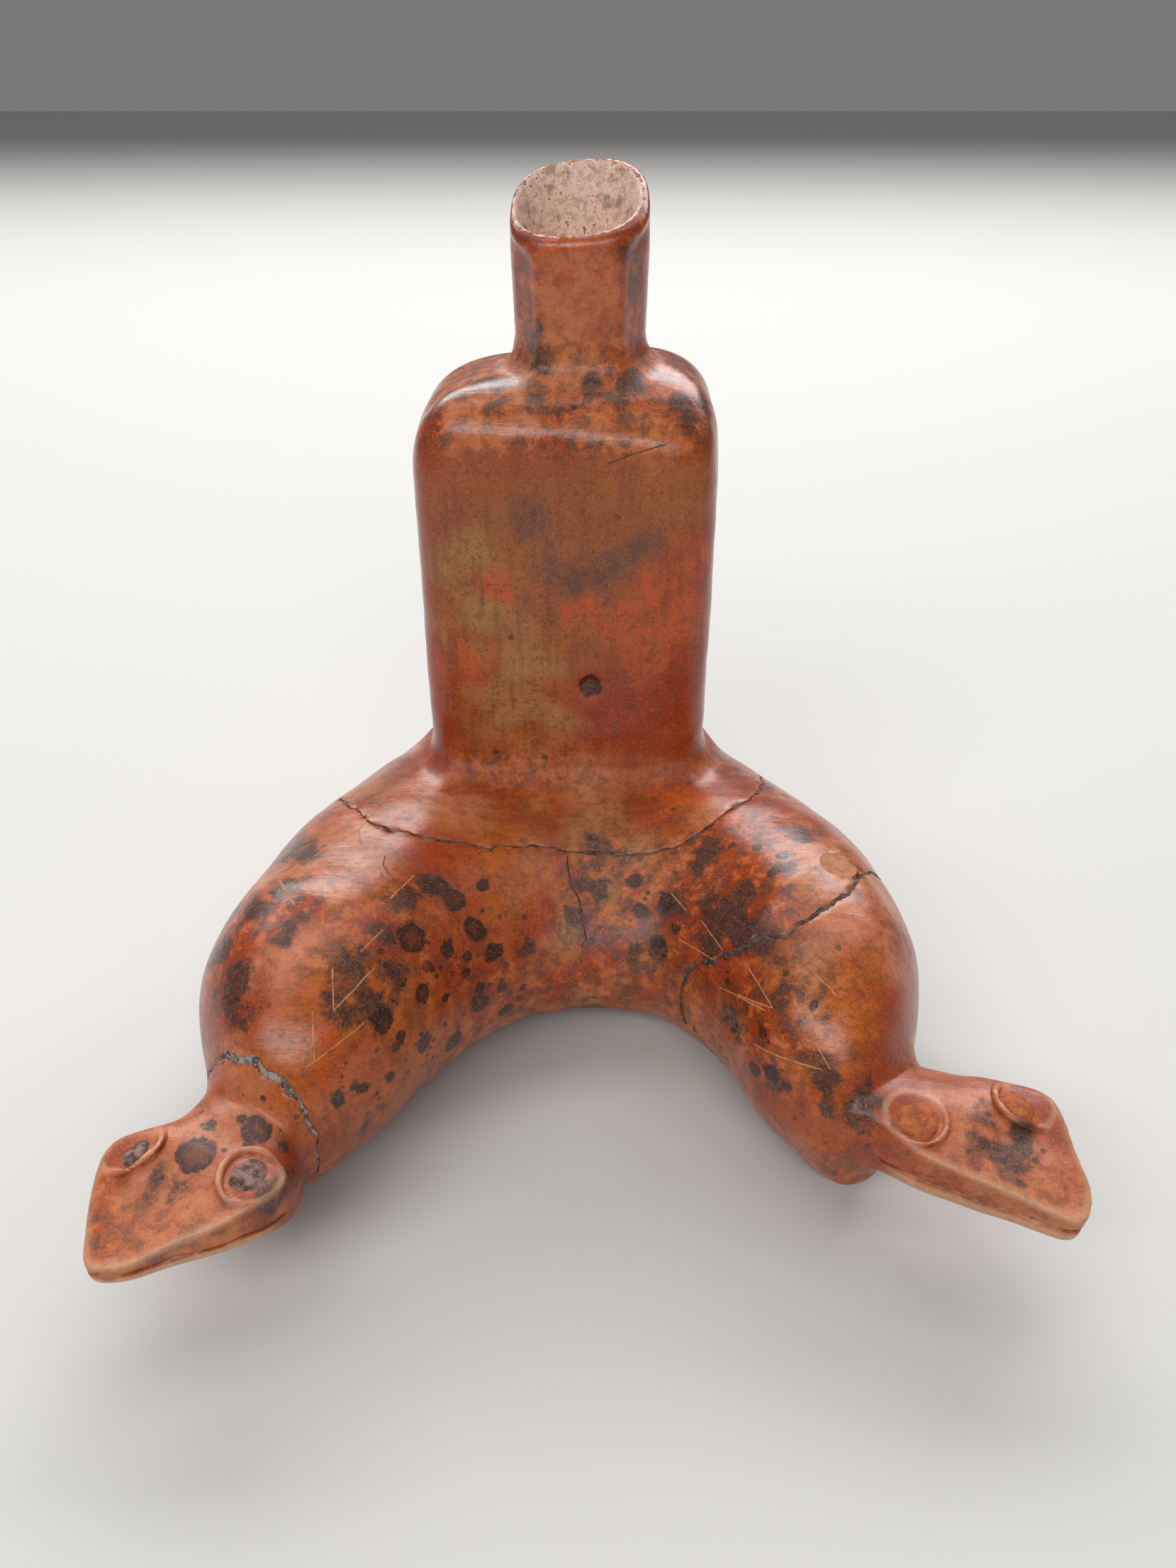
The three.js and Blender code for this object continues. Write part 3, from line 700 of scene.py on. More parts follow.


# Marks on the slip, and places of painted highlight, in the object's frame, in millimetres: middle and radius
SPOTS = [
    (-56, -45, 74, 5.2), (-45, -26, 73, 4.4), (-49, -23, 76, 3.6), (-53, -24, 78, 2.8),
    (-38, -32, 66, 4.2), (-46, -42, 66, 3), (-36, -17, 72, 2.4), (-53, -57, 61, 3), (-45, -53, 36, 3.8),
    (-32, -34, 58, 3.6), (-36, -44, 45, 3.6), (-29, -37, 35, 3), (-53, -63, 46, 3.6), (-63, -70, 63, 4),
    (-58, -69, 55, 2.2), (-75, -88, 49, 2.8), (-71, -85, 50, 1.6), (-62, -76, 45, 2.4),
    (-69, -83, 48, 2), (-46, -52, 55, 1.7), (-40, -43, 58, 2), (-36, -42, 50, 2.2), (-50, -50, 65, 1.5),
    (-58, -58, 66, 1.6), (-43, -47, 61, 1.4), (-96, -100, 49.5, 4.2), (-111, -109, 49.7, 5.8),
    (-101, -97, 51, 1.8), (-110, -99, 51, 2.2), (16, -8, 67, 2.8), (17.5, -18, 62, 3),
    (26, -18, 66, 3.4), (23, -27, 56, 2.4), (29, -27, 62, 1.8), (52, -72, 44, 3), (67, -71, 70, 1.8),
    (56, -78, 48, 3), (64, -16, 84, 2.4), (56, -10, 83, 2), (60, -24, 83, 2.6), (48, -6, 80, 1.8),
    (0.4, 39.7, 118, 4.3),
]
CLOUDS = [
    (-72, -64, 73, 8), (-66, -58, 74, 7), (-76, -70, 72, 5), (-67, -70, 69, 7), (-62, -72, 64, 5),
    (-62, -50, 77, 5), (-59, -30, 80, 5), (-64, -34, 80, 4), (-53, -24, 78, 4), (-99.5, -8, 80, 8),
    (-95, -14, 83, 5), (-104, -2, 76, 6), (-97, -35, 84, 4), (-91, -50, 83, 4), (-93, -56, 82, 3),
    (-106, -41, 79, 5), (-113, -51, 73, 6), (-115, -46, 68, 6), (-107, -66, 72, 8), (-104, -74, 68, 6),
    (-69, -83, 32, 5), (45, -34, 72, 8), (40, -24, 72, 6), (50, -28, 76, 6), (52, -42, 74, 7),
    (40, -40, 66, 6), (58, -47, 72, 5), (29, -20, 67, 6), (64, -23, 84, 5), (40, -5, 78.5, 6),
    (34, -10, 74, 5), (74, -7, 84, 5), (68, 0, 83, 4), (15, -27, 50, 4), (3, -23, 54, 4),
    (23, -29, 52, 4), (45, -57, 47, 5), (76, -90, 49, 6), (72, -86, 56, 5), (84, -92, 47, 5),
    (56, -78, 48, 4), (3, 5, 71, 5), (-4, -17, 60, 5), (1, -10, 66, 4), (-31, -37, 52, 3),
    (-22, -29, 55, 3), (119, -106, 46, 6), (112, -104, 47, 4.5), (124, -100, 46, 4.5), (117, -97, 47, 4),
    (-121, -115, 46, 4.5), (-116, -118, 45, 3.5), (-88, -120, 45, 4), (-77, -112, 44, 5),
    (12.5, 59, 254, 3), (15, 60, 245, 4), (15, 57, 232, 4), (-20, 60, 232, 5), (-18, 58, 225, 5),
    (-32, 56, 218, 5), (-41, 53, 213, 4), (-16, 48, 216, 3), (0, 51, 219, 4), (15, 53, 219, 4),
    (29, 52, 215, 5), (33, 47, 210, 4), (37, 60, 213, 5), (20, 100, 214, 8), (-30, 104, 206, 7),
    (44, 90, 190, 8), (-61, 84, 170, 9), (10, 118, 150, 10), (-40, 118, 120, 9), (-70, 96, 66, 10),
    (40, 108, 60, 11), (-15, 136, 50, 10), (88, 40, 60, 9), (-104, 30, 62, 10), (106, -30, 56, 9),
    (112, -60, 40, 7), (-121, -58, 45, 8), (-60, -64, 20, 7), (40, -50, 16, 7), (0, -20, 20, 7),
    (-20, 118, 180, 6), (30, 118, 100, 7),
]
OCHRES = [
    (-44, 39, 167, 11), (-36, 39, 145, 12), (-26, 39, 124, 12), (-32, 39, 110, 13), (-16, 39, 102, 10),
    (-40, 39, 132, 8), (4, 20, 80, 12), (12, 6, 74, 10),
]
VIVIDS = [
    (28, 39, 146, 15), (9, 39, 144, 9), (-1, 39, 149, 7), (21, 39, 131, 10), (35, 39, 164, 9),
    (-29, 39, 157, 6), (-42, 39, 125, 7), (-62, 26, 83, 9), (34, 22, 78, 10), (40, -70, 66, 9),
    (-90, 10, 83, 8), (-74, -86, 62, 9), (50, 12, 84, 7), (-8, 57, 262, 8),
]
SMOKES = [
    (18, 39, 171, 4), (13, 39, 167, 4), (8, 39, 163, 4.5), (2, 39, 160, 5), (-5, 39, 157, 5),
    (-13, 39, 164, 6), (-20, 39, 180, 6),
]
REDS = [
    (-54, 45, 142, 12), (-53, 43, 126, 9), (-53, 43, 184, 12), (40, 44, 160, 18), (43, 44, 120, 20),
    (-28, 62, 244, 10), (-10, 57, 250, 8),
]
PALES = [(-44, 14, 77, 13), (40, 12, 77, 9), (-76, 30, 78, 12), (130, -120, 44, 8), (62, -60, 78, 14)]
SPECKLED = [
    (-40, -38, 60, 18), (-56, -60, 52, 18), (-68, -80, 48, 12), (-30, -30, 50, 14), (22, -18, 62, 12),
    (56, -74, 50, 12), (40, -44, 60, 8), (-96, -100, 50, 12),
]
# Places where a pale sheen is painted on as a highlight: the arms' crests, the heads, the shoulder's front
# ridge and the spout's low front
PAINTED_SHEEN = [
    (-3, 58, 246, 15), (-8, 56, 226, 12), (-40, 41, 208, 7), (-20, 40, 210, 7), (0, 40, 209, 7),
    (20, 42, 207, 7), (-114, -122, 43, 18), (-100, -104, 48, 12), (126, -116, 43, 18),
    (112, -98, 48, 14), (-100, -92, 48, 10), (74, -20, 84, 14), (80, -42, 80, 10), (-85, 2, 84, 13),
    (-98, -22, 83, 12), (-96, -64, 77, 10), (-60, 28, 84, 12), (0, 28, 80, 10), (-86, -56, 80, 8),
    (-46, 16, 77, 11), (40, 14, 77, 8), (92, -30, 76, 10), (92, -52, 72, 9), (-108, -84, 62, 9),
]
DAPPLED = [(52, -18, 82, 34), (8, -12, 66, 22), (60, -66, 60, 22)]
FARTHEST, NO_BORE = 20, -9  # the limit of every mark's value, and the value away from the bore


def nearness(points, places):
    """How far inside the nearest of those balls each point lies, in millimetres."""
    result = np.full(len(points), -float(FARTHEST))
    for *place, radius in places:
        result = np.maximum(result, radius - far(points, place))
    return result


def mark(piece, points):
    """Writes on each point where it lies among the marks of the firing and the wear, and among the places of
    painted highlight.
    """
    x, y, z = (points - AXIS).T

    def among(places, low, high, uneven=0):
        return ramp(nearness(points, places) + uneven, low, high)

    def wave(size, length, seed):
        return size * ripple(points, length, seed)
    on_flask, on_snakes, on_spout = (np.abs(form(points)) for form in (flask, snakes, spout))
    lap = np.exp(-((x - 8) / 26) ** 2) * ramp(-y, 40, 60)
    ochre = np.maximum(among(OCHRES, -8, 9, wave(4, 16, 33)), lap * (0.3 + wave(0.45, 18, 34)))
    shoulder = ramp(z - 0.14 * y, 202, 210) * ramp(240 - z, 2, 16)
    spout_sides = 0.8 * ramp(np.abs(x - SPOUT_X), 10, 15) * ramp(z, 212, 226)
    dappled = np.maximum(0.35 + wave(0.45, 60, 35), among(DAPPLED, -10, 10))
    low_join = ramp(np.maximum(on_flask, on_snakes), 9, 3)
    high_join = ramp(np.maximum(on_flask, on_spout), 6, 2)
    heads = ramp(np.minimum(LEFT_HEAD.outline(points), RIGHT_HEAD.outline(points)), 14, 0)
    values = {
        "spot": nearness(points, SPOTS) + wave(0.5, 6, 31),
        "cloud": nearness(points, CLOUDS) + wave(2.5, 13, 32) + wave(1.2, 5, 36),
        "ochre": np.maximum(ochre, 0.5 * among(PALES, -4, 6)),
        "vivid": among(VIVIDS, -5, 5, wave(4, 12, 38)),
        "mottle": np.maximum(np.maximum(shoulder, spout_sides), (1 - ramp(z, 86, 96)) * dappled),
        "brown": ramp(-y, 25, 36) * ramp(z, 70, 90) * ramp(z, 110, 150) * ramp(z, 212, 186),
        "smoke": among(SMOKES, -4, 4, wave(1.5, 8, 39)),
        "speckle": among(SPECKLED, -6, 4),
        # painted highlight: the places where a pale sheen is painted over the high places
        "painted_sheen": among(PAINTED_SHEEN, -5, 6, wave(2, 15, 37)),
        # rubbed pale clay on the lips and rings, with a painted highlight along the heads' ridges
        "worn": np.maximum(LEFT_HEAD.worn(points), RIGHT_HEAD.worn(points)),
        "dull": np.maximum(np.maximum(low_join, high_join), np.maximum(0.35 * heads, 0.6 * lap)),
        "red": among(REDS, -5, 5),
        "bare": np.where(rim(points) > -60, 0.7 - bore(points), NO_BORE),
    }
    for label, value in values.items():
        attribute = piece.data.attributes.new(label, "FLOAT", "POINT")
        attribute.data.foreach_set("value", np.clip(value, -FARTHEST, FARTHEST).astype(np.float32))


class Tree:
    """Short calls for building a material's nodes, and for laying its colours over each other."""

    def __init__(self, name):
        self.material = bpy.data.materials.new(name)
        self.material.use_nodes = True
        self.nodes, self.links = self.material.node_tree.nodes, self.material.node_tree.links
        self.shader = self.nodes["Principled BSDF"]
        self.position = self.add("ShaderNodeTexCoord").outputs["Object"]
        self.colour = None

    def add(self, kind, **settings):
        """A new node with those settings."""
        node = self.nodes.new(kind)
        for key, value in settings.items():
            setattr(node, key, value)
        return node

    def feed(self, socket, value):
        """Links another node's output to a socket, or sets the socket's own value."""
        if hasattr(value, "links"):
            self.links.new(value, socket)
        else:
            socket.default_value = value

    def noise(self, scale, detail, roughness, stretch=(1.0, 1.0, 1.0), distortion=0.0):
        """A noise whose scale is in bumps per metre."""
        mapping, node = self.add("ShaderNodeMapping"), self.add("ShaderNodeTexNoise")
        self.feed(mapping.inputs["Vector"], self.position)
        self.feed(node.inputs["Vector"], mapping.outputs["Vector"])
        mapping.inputs["Scale"].default_value = stretch
        for label, value in (("Scale", scale), ("Detail", detail), ("Roughness", roughness),
                             ("Distortion", distortion)):
            node.inputs[label].default_value = value
        return node.outputs["Fac"]

    def cells(self, scale, radius):
        """Round dots scattered at that many per metre, 1 inside and 0 outside."""
        node = self.add("ShaderNodeTexVoronoi", feature="F1")
        self.feed(node.inputs["Vector"], self.position)
        node.inputs["Scale"].default_value = scale
        return self.between(node.outputs["Distance"], radius, radius * 0.7)

    def math(self, operation, *values):
        """One value from several, taken two at a time from the left."""
        result = values[0]
        for value in values[1:]:
            node = self.add("ShaderNodeMath", operation=operation)
            self.feed(node.inputs[0], result)
            self.feed(node.inputs[1], value)
            result = node.outputs[0]
        return result

    def times(self, *values):
        return self.math("MULTIPLY", *values)

    def swing(self, noise, millimetres):
        """A noise made to swing round 0, by half of that at most."""
        return self.times(self.math("SUBTRACT", noise, 0.5), millimetres)

    def between(self, value, low, high, to_low=0.0, to_high=1.0):
        """A smooth change from one value to another as the input goes from low to high."""
        node = self.add("ShaderNodeMapRange", interpolation_type="SMOOTHSTEP")
        for label, v in (("Value", value), ("From Min", low), ("From Max", high),
                         ("To Min", to_low), ("To Max", to_high)):
            self.feed(node.inputs[label], v)
        return node.outputs["Result"]

    def mix(self, factor, a, b):
        node = self.add("ShaderNodeMix", data_type="RGBA")
        self.feed(node.inputs["Factor"], factor)
        for label, colour in (("A", a), ("B", b)):
            colour = hexagon(colour) if isinstance(colour, str) else colour
            socket = [s for s in node.inputs if s.name == label and s.type == "RGBA"][0]
            self.feed(socket, colour if hasattr(colour, "links") else (*colour[:3], 1.0))
        return [s for s in node.outputs if s.type == "RGBA"][0]

    def layer(self, colour, *shares):
        """Lays a colour over the rest by the product of the shares."""
        self.colour = self.mix(self.times(*shares), self.colour, colour)

    def attribute(self, name):
        return self.add("ShaderNodeAttribute", attribute_name=name).outputs["Fac"]

    def finish(self, roughness, *bumps):
        """Connects it all. Each bump has a height, a depth in metres and a strength."""
        normal = None
        for height, depth, strength in bumps:
            node = self.add("ShaderNodeBump")
            self.feed(node.inputs["Height"], height)
            node.inputs["Distance"].default_value = depth
            node.inputs["Strength"].default_value = strength
            if normal is not None:
                self.feed(node.inputs["Normal"], normal)
            normal = node.outputs["Normal"]
        for label, value in (("Base Color", self.colour), ("Roughness", roughness), ("Normal", normal)):
            self.feed(self.shader.inputs[label], value)
        return self.material


def burnished_slip(colours):
    """Red-orange slip rubbed to a gloss, with spots, fire clouds, worn ochre, stroke marks and a painted
    highlight on its high places and along the heads' ridges.
    """
    tree = Tree("burnished_slip")
    part, between, times, layer = tree.attribute, tree.between, tree.times, tree.layer
    broad = tree.noise(24, 3, 0.5)
    patches = tree.noise(75, 7, 0.62, distortion=0.7)
    blots = tree.noise(190, 7, 0.64, distortion=0.4)
    fine = tree.noise(480, 8, 0.72)
    grit = tree.noise(1500, 4, 0.6)
    strokes = tree.noise(150, 6, 0.62, stretch=(0.16, 1.0, 1.0))
    uprights = tree.noise(260, 5, 0.62, stretch=(1.0, 1.0, 0.15))
    ragged = tree.swing(fine, 6.0)

    tree.colour = tree.mix(between(broad, 0.4, 0.6), colours.slip_red, colours.slip_orange)
    layer(colours.slip_brown, between(patches, 0.5, 0.72, 0.0, 0.75))
    layer(colours.slip_red, between(strokes, 0.4, 0.68, 0.0, 0.5))
    layer(colours.slip_tan, part("brown"), 0.65)
    layer(colours.ochre, part("ochre"), between(blots, 0.3, 0.58, 0.35, 0.95), 0.8)
    layer(colours.slip_red, part("red"), between(patches, 0.35, 0.55))
    layer(colours.slip_vivid, part("vivid"), between(blots, 0.36, 0.56, 0.2, 0.9))
    layer(colours.slip_brown, between(fine, 0.5, 0.66, 0.0, 0.62))
    layer(colours.slip_brown, between(uprights, 0.48, 0.66, 0.0, 0.5))
    bright = tree.mix(between(broad, 0.4, 0.6), colours.slip_bright, colours.pale_slip_and_painted_sheen)
    layer(bright, between(blots, 0.53, 0.6), part("mottle"), 0.75)
    layer(colours.cloud, between(blots, 0.49, 0.41), part("mottle"), 0.8)
    # Painted highlight: a pale pinkish sheen laid over the high places
    layer(colours.pale_slip_and_painted_sheen, part("painted_sheen"), between(blots, 0.35, 0.6, 0.25, 0.7))
    layer(colours.cloud, part("smoke"), between(blots, 0.3, 0.6, 0.3, 0.75))
    layer(colours.slip_brown, between(fine, 0.54, 0.7, 0.0, 0.5))

    depth = tree.math("ADD", part("cloud"), tree.swing(patches, 18.0), ragged)
    streaked = tree.math("ADD", times(strokes, 0.5), times(blots, 0.5))
    layer(tree.mix(between(fine, 0.4, 0.62), colours.cloud, colours.spot),
          between(depth, -2.6, 3.0), between(streaked, 0.36, 0.5, 0.42, 0.92))
    inside = tree.math("ADD", part("spot"), tree.swing(fine, 3.5))
    large = times(between(inside, -0.5, 0.5), between(inside, 1.2, 3.2, 0.95, 0.72))
    small = tree.math("MAXIMUM", tree.cells(105, 0.25), tree.cells(210, 0.23))
    small = times(small, between(part("speckle"), 0.2, 0.9), 0.85)
    layer(colours.spot, tree.math("MAXIMUM", large, small, times(tree.cells(75, 0.1), 0.7)))
    layer(colours.slip_brown, between(grit, 0.5, 0.7, 0.0, 0.4))
    layer(colours.pale_slip_and_painted_sheen, between(grit, 0.5, 0.32, 0.0, 0.35))
    # Rubbed pale clay on the lips and rings, and a painted highlight along the heads' ridges
    layer(colours.worn, part("worn"), between(fine, 0.3, 0.6, 0.4, 0.8))

    bare = between(tree.math("ADD", part("bare"), ragged), -0.2, 0.3)
    # Bare clay inside the spout: its colours are painted lighter to stand in for light in the shaded bore
    clay = tree.mix(between(fine, 0.42, 0.6), colours.bare_clay_with_painted_light, colours.bare_grain_with_painted_light)
    layer(tree.mix(between(blots, 0.52, 0.66, 0.0, 0.6), clay, colours.filler), bare)
    rough = tree.math("ADD", between(patches, 0.3, 0.7, 0.16, 0.26), between(fine, 0.45, 0.75, 0.0, 0.16),
                      times(tree.math("MAXIMUM", bare, part("dull")), 0.42))
    tree.shader.inputs["IOR"].default_value = 1.52
    return tree.finish(rough, (strokes, 0.0007, 0.4), (fine, 0.00025, 0.4), (grit, 0.0001, 0.35))


def mortar(name, pale, dark, speck):
    """Matt filler, gritty and uneven in colour."""
    tree = Tree(name)
    blotch, grit = tree.noise(300, 6, 0.65), tree.noise(1600, 6, 0.7)
    tree.colour = tree.mix(tree.between(blotch, 0.4, 0.62), pale, dark)
    tree.layer(speck, tree.between(grit, 0.56, 0.66))
    return tree.finish(tree.between(grit, 0.3, 0.7, 0.62, 0.9), (blotch, 0.0004, 0.6), (grit, 0.00025, 0.7))


def hexagon(value):
    """A colour written as it is seen, such as b4532c, as the linear values that Blender takes."""
    parts = [int(value[i:i + 2], 16) / 255 for i in (0, 2, 4)]
    return tuple(c / 12.92 if c <= 0.04045 else ((c + 0.055) / 1.055) ** 2.4 for c in parts)


def colour_property(name, description, value):
    return bpy.props.FloatVectorProperty(
        name=name, description=description, subtype="COLOR", size=3, min=0, max=1, default=hexagon(value))


class VesselColours(bpy.types.PropertyGroup):
    slip_red: colour_property("Red slip", "Strongest red of the burnished slip", "98300a")
    slip_orange: colour_property("Orange slip", "Lighter orange of the burnished slip", "b85c1a")
    slip_bright: colour_property("Bright slip", "Bright orange where the slip is thick", "c8642c")
    slip_vivid: colour_property("Vivid slip", "Strongest orange-red of the slip", "be4a0c")
    # Pale pinkish slip: grain and mottle in the slip, and also the colour of the painted highlight on its
    # high places
    pale_slip_and_painted_sheen: colour_property("Hazy slip", "Pale pinkish bloom on the slip's high places", "c4784e")
    slip_tan: colour_property("Tan slip", "Yellowish brown of the flask's upper face", "864a1a")
    slip_brown: colour_property("Brown slip", "Duller brown where the slip is thin", "6c3412")
    ochre: colour_property("Ochre wear", "Yellowish clay where the slip is worn", "a47c42")
    # Pale clay on the lips and rings, and also the colour of the painted highlight along the heads' ridges
    worn: colour_property("Rubbed clay", "Pale clay on ridges, lips and rings", "d8a884")
    cloud: colour_property("Fire cloud", "Purple-grey smoke marks from the firing", "48342e")
    spot: colour_property("Spots", "Nearly black manganese spots", "241614")
    # Unslipped clay inside the spout, painted lighter than the clay itself so that the shaded inside looks
    # lit
    bare_clay_with_painted_light: colour_property("Bare clay", "Unslipped clay inside the spout", "ecccb8")
    bare_grain_with_painted_light: colour_property("Bare clay shade", "Darker grains of the unslipped clay", "c4a090")
    pellet: colour_property("Eye pellets", "Greyish brown of the eye pellets", "96746a")
    filler: colour_property("Filler", "Dark filler in the breaks", "5c4e44")


class VesselSizes(bpy.types.PropertyGroup):
    step: bpy.props.FloatProperty(
        name="Mesh step", description="Grid on which the large forms are built, in millimetres",
        default=1.3, min=0.8, max=4.0)
    fine_step: bpy.props.FloatProperty(
        name="Fine mesh step", description="Grid for the heads and the filler, in millimetres",
        default=0.75, min=0.5, max=3.0)


def slip():
    return bpy.data.materials.get("burnished_slip") or burnished_slip(bpy.context.scene.vessel_colours)


def clay_piece(name, field, low, high, step, nodes):
    """A sherd of slipped clay, its unseen inner skin made coarser."""
    points, quads = contour(field, low, high, step)
    inner = (np.abs(evaluate(body, points) + WALL) < 1.0) & (evaluate(bore, points) > 2)
    points, quads = thin_out(points, quads, inner, step * 3)
    piece = make_piece(name, points, quads, slip(), "burnished_clay", nodes)
    if len(piece.data.vertices) != len(points):
        raise RuntimeError(f"{name} lost points")
    mark(piece, points)


class VESSEL_OT_bodies(bpy.types.Operator):
    """Builds the flask with its spout and the snakes' bodies, cut apart along the breaks"""
    bl_idname = "vessel.bodies"
    bl_label = "Flask and snakes"

    def execute(self, context):
        step = context.scene.vessel_sizes.step
        clay_piece("flask", flask_piece, (-103, -8, 28), (77, 142, 284), step,
                   ("spout", "flask_shoulder", "flask_walls", "flask_skirt"))
        clay_piece("left_snake_body", left_body_piece, (-135, -110, -4), (4, 144, 92), step, ("left_snake",))
        clay_piece("right_snake_body", right_root_piece, (-12, -66, -4), (118, 144, 92), step,
                   ("right_snake_root",))
        return {"FINISHED"}


class VESSEL_OT_heads(bpy.types.Operator):
    """Builds the two heads, the right one with the end of its snake's body"""
    bl_idname = "vessel.heads"
    bl_label = "Heads"

    def execute(self, context):
        step = context.scene.vessel_sizes.fine_step
        clay_piece("left_head_and_neck", left_head_piece, (-146, -146, 18), (-66, -76, 64), step,
                   ("left_head", "left_head_left_eye_ring", "left_head_right_eye_ring"))
        clay_piece("right_head_and_body", right_end_piece, (0, -140, -3), (145, 16, 92), step + 0.1,
                   ("right_snake_end", "right_head", "right_head_left_eye_ring", "right_head_right_eye_ring"))
        return {"FINISHED"}


class VESSEL_OT_pellets(bpy.types.Operator):
    """Presses the four clay pellets into the eyes"""
    bl_idname = "vessel.pellets"
    bl_label = "Eye pellets"

    def execute(self, context):
        colours = context.scene.vessel_colours
        grey = mortar("pellet_clay", colours.pellet, colours.cloud, "a88478")
        orange = mortar("slipped_pellet", "b4602c", "8c4018", "c8804c")
        for side, head, material in (("left", LEFT_HEAD, grey), ("right", RIGHT_HEAD, orange)):
            for name, (middle, turn) in head.eyes.items():
                field = pellet(middle, turn, head.facts["pellet"])
                points, quads = contour(field, middle - PELLET_BOX, middle + PELLET_BOX, PELLET_STEP)
                make_piece(f"{side}_{name}_eye_pellet", points, quads, material, "dark_clay",
                           (f"{side}_head_{name}_eye_pellet",))
        return {"FINISHED"}


class VESSEL_OT_fillers(bpy.types.Operator):
    """Fills the old breaks and the round patch"""
    bl_idname = "vessel.fillers"
    bl_label = "Fillers"

    def execute(self, context):
        colours = context.scene.vessel_colours
        step = context.scene.vessel_sizes.fine_step
        grey = mortar("filler", colours.filler, "382c26", "8c8074")
        brown = mortar("loop_filler", "6e5548", "3c2a26", "8a7866")
        chalk = mortar("neck_filler", "9a9088", "4a3c36", "c8c0b8")
        sand = mortar("patch_filler", "b87c58", "a26642", "d4aa88")
        for name, field, low, high, material, slot, node in (
            ("skirt_break_line", loop_filler, (-106, -10, 30), (80, 142, 90), brown,
             "filler", "skirt_break_filler"),
            ("right_break_line", break_filler, (-10, -70, -2), (118, 14, 92), grey,
             "filler", "right_break_filler"),
            ("left_neck_line", neck_filler, (-125, -108, 18), (-72, -66, 66), chalk,
             "filler", "left_neck_filler"),
            ("round_patch", patch_piece, (73, -30, 70), (92, -10, 92), sand,
             "patch_filler", "patch_filler"),
        ):
            points, quads = contour(field, low, high, step * 0.9)
            make_piece(name, points, quads, material, slot, (node,))
        return {"FINISHED"}


# Ends of the incised lines in the object's frame, in millimetres
LEFT_SCRATCHES = [
    [(-72, 25, 81), (-79, 0, 83), (-91, -16, 84)], [(-79, 0, 83), (-77, -10, 83)],
    [(-100, -28, 83), (-92, -42, 84)], [(-99, -36, 83), (-94, -31, 85)], [(-58, -22, 80), (-64, -35, 81)],
    [(-64.5, -47, 79), (-70, -56, 78)], [(-77.5, -63, 78), (-76, -74, 71), (-66, -59, 74)],
    [(-82, -75, 72), (-81, -85, 62)], [(-83, -87, 61), (-68, -73, 65)], [(-75, 12, 82), (-80, 8, 83)],
]
RIGHT_SCRATCHES = [
    [(28, -16, 68), (33, -24, 67)], [(37, -30, 68), (43, -42, 66)], [(30, -30, 60), (40, -42, 62)],
]
END_SCRATCHES = [
    [(41, -48, 56), (54, -66, 63)], [(49, -50, 68), (56, -67, 65), (45, -56, 60)],
    [(62, -67, 69), (71, -85, 58)], [(52, -69, 52), (69, -84, 57)], [(66, -60, 76), (74, -70, 73)],
]
CRACKS = [[(-68, -15, 83), (-68, -20, 83), (-65, -25, 82.5)], [(6, 39, 198), (14, 39, 201), (24, 40, 204)]]
SEAM_LINE = [[(-7.6, 2, 70), (-7.4, -4, 68), (-5, -10, 64), (-2.4, -16, 58), (-1.5, -21, 52)]]


def on_surface(field, points):
    """Moves points along a field's slope onto its surface, and gives the slope there."""
    for _ in range(4):
        here = field(points)
        slope = np.stack([field(points + d) - field(points - d) for d in np.eye(3) * 0.2], 1) / 0.4
        points = points - slope * (here / np.sum(slope**2, axis=1))[:, None]
    return points, slope / np.linalg.norm(slope, axis=1)[:, None]


def ribbon_tree():
    """Geometry nodes that lay a flat ribbon along each edge path, square to the surface under it."""
    tree = bpy.data.node_groups.new("ribbon_on_surface", "GeometryNodeTree")
    for label, way, kind in (("Geometry", "INPUT", "Geometry"), ("Width", "INPUT", "Float"),
                             ("Material", "INPUT", "Material"), ("Geometry", "OUTPUT", "Geometry")):
        tree.interface.new_socket(label, in_out=way, socket_type="NodeSocket" + kind)
    add, link = tree.nodes.new, tree.links.new
    start, end = add("NodeGroupInput"), add("NodeGroupOutput")
    curve, square = add("GeometryNodeMeshToCurve"), add("GeometryNodeInputNamedAttribute")
    square.data_type = "FLOAT_VECTOR"
    square.inputs["Name"].default_value = "square"
    normal = add("GeometryNodeSetCurveNormal")
    normal.mode = "FREE"
    profile, sweep = add("GeometryNodeCurvePrimitiveLine"), add("GeometryNodeCurveToMesh")
    for label, share in (("Start", -0.5), ("End", 0.5)):
        half, corner = add("ShaderNodeMath"), add("ShaderNodeCombineXYZ")
        half.operation = "MULTIPLY"
        half.inputs[1].default_value = share
        link(start.outputs["Width"], half.inputs[0])
        link(half.outputs[0], corner.inputs["Y"])
        link(corner.outputs[0], profile.inputs[label])
    real, paint = add("GeometryNodeRealizeInstances"), add("GeometryNodeSetMaterial")
    link(start.outputs["Geometry"], curve.inputs[0])
    link(curve.outputs[0], normal.inputs["Curve"])
    link(square.outputs["Attribute"], normal.inputs["Normal"])
    link(normal.outputs["Curve"], sweep.inputs["Curve"])
    link(profile.outputs["Curve"], sweep.inputs["Profile Curve"])
    link(sweep.outputs["Mesh"], real.inputs[0])
    link(real.outputs[0], paint.inputs["Geometry"])
    link(start.outputs["Material"], paint.inputs["Material"])
    link(paint.outputs["Geometry"], end.inputs["Geometry"])
    return tree


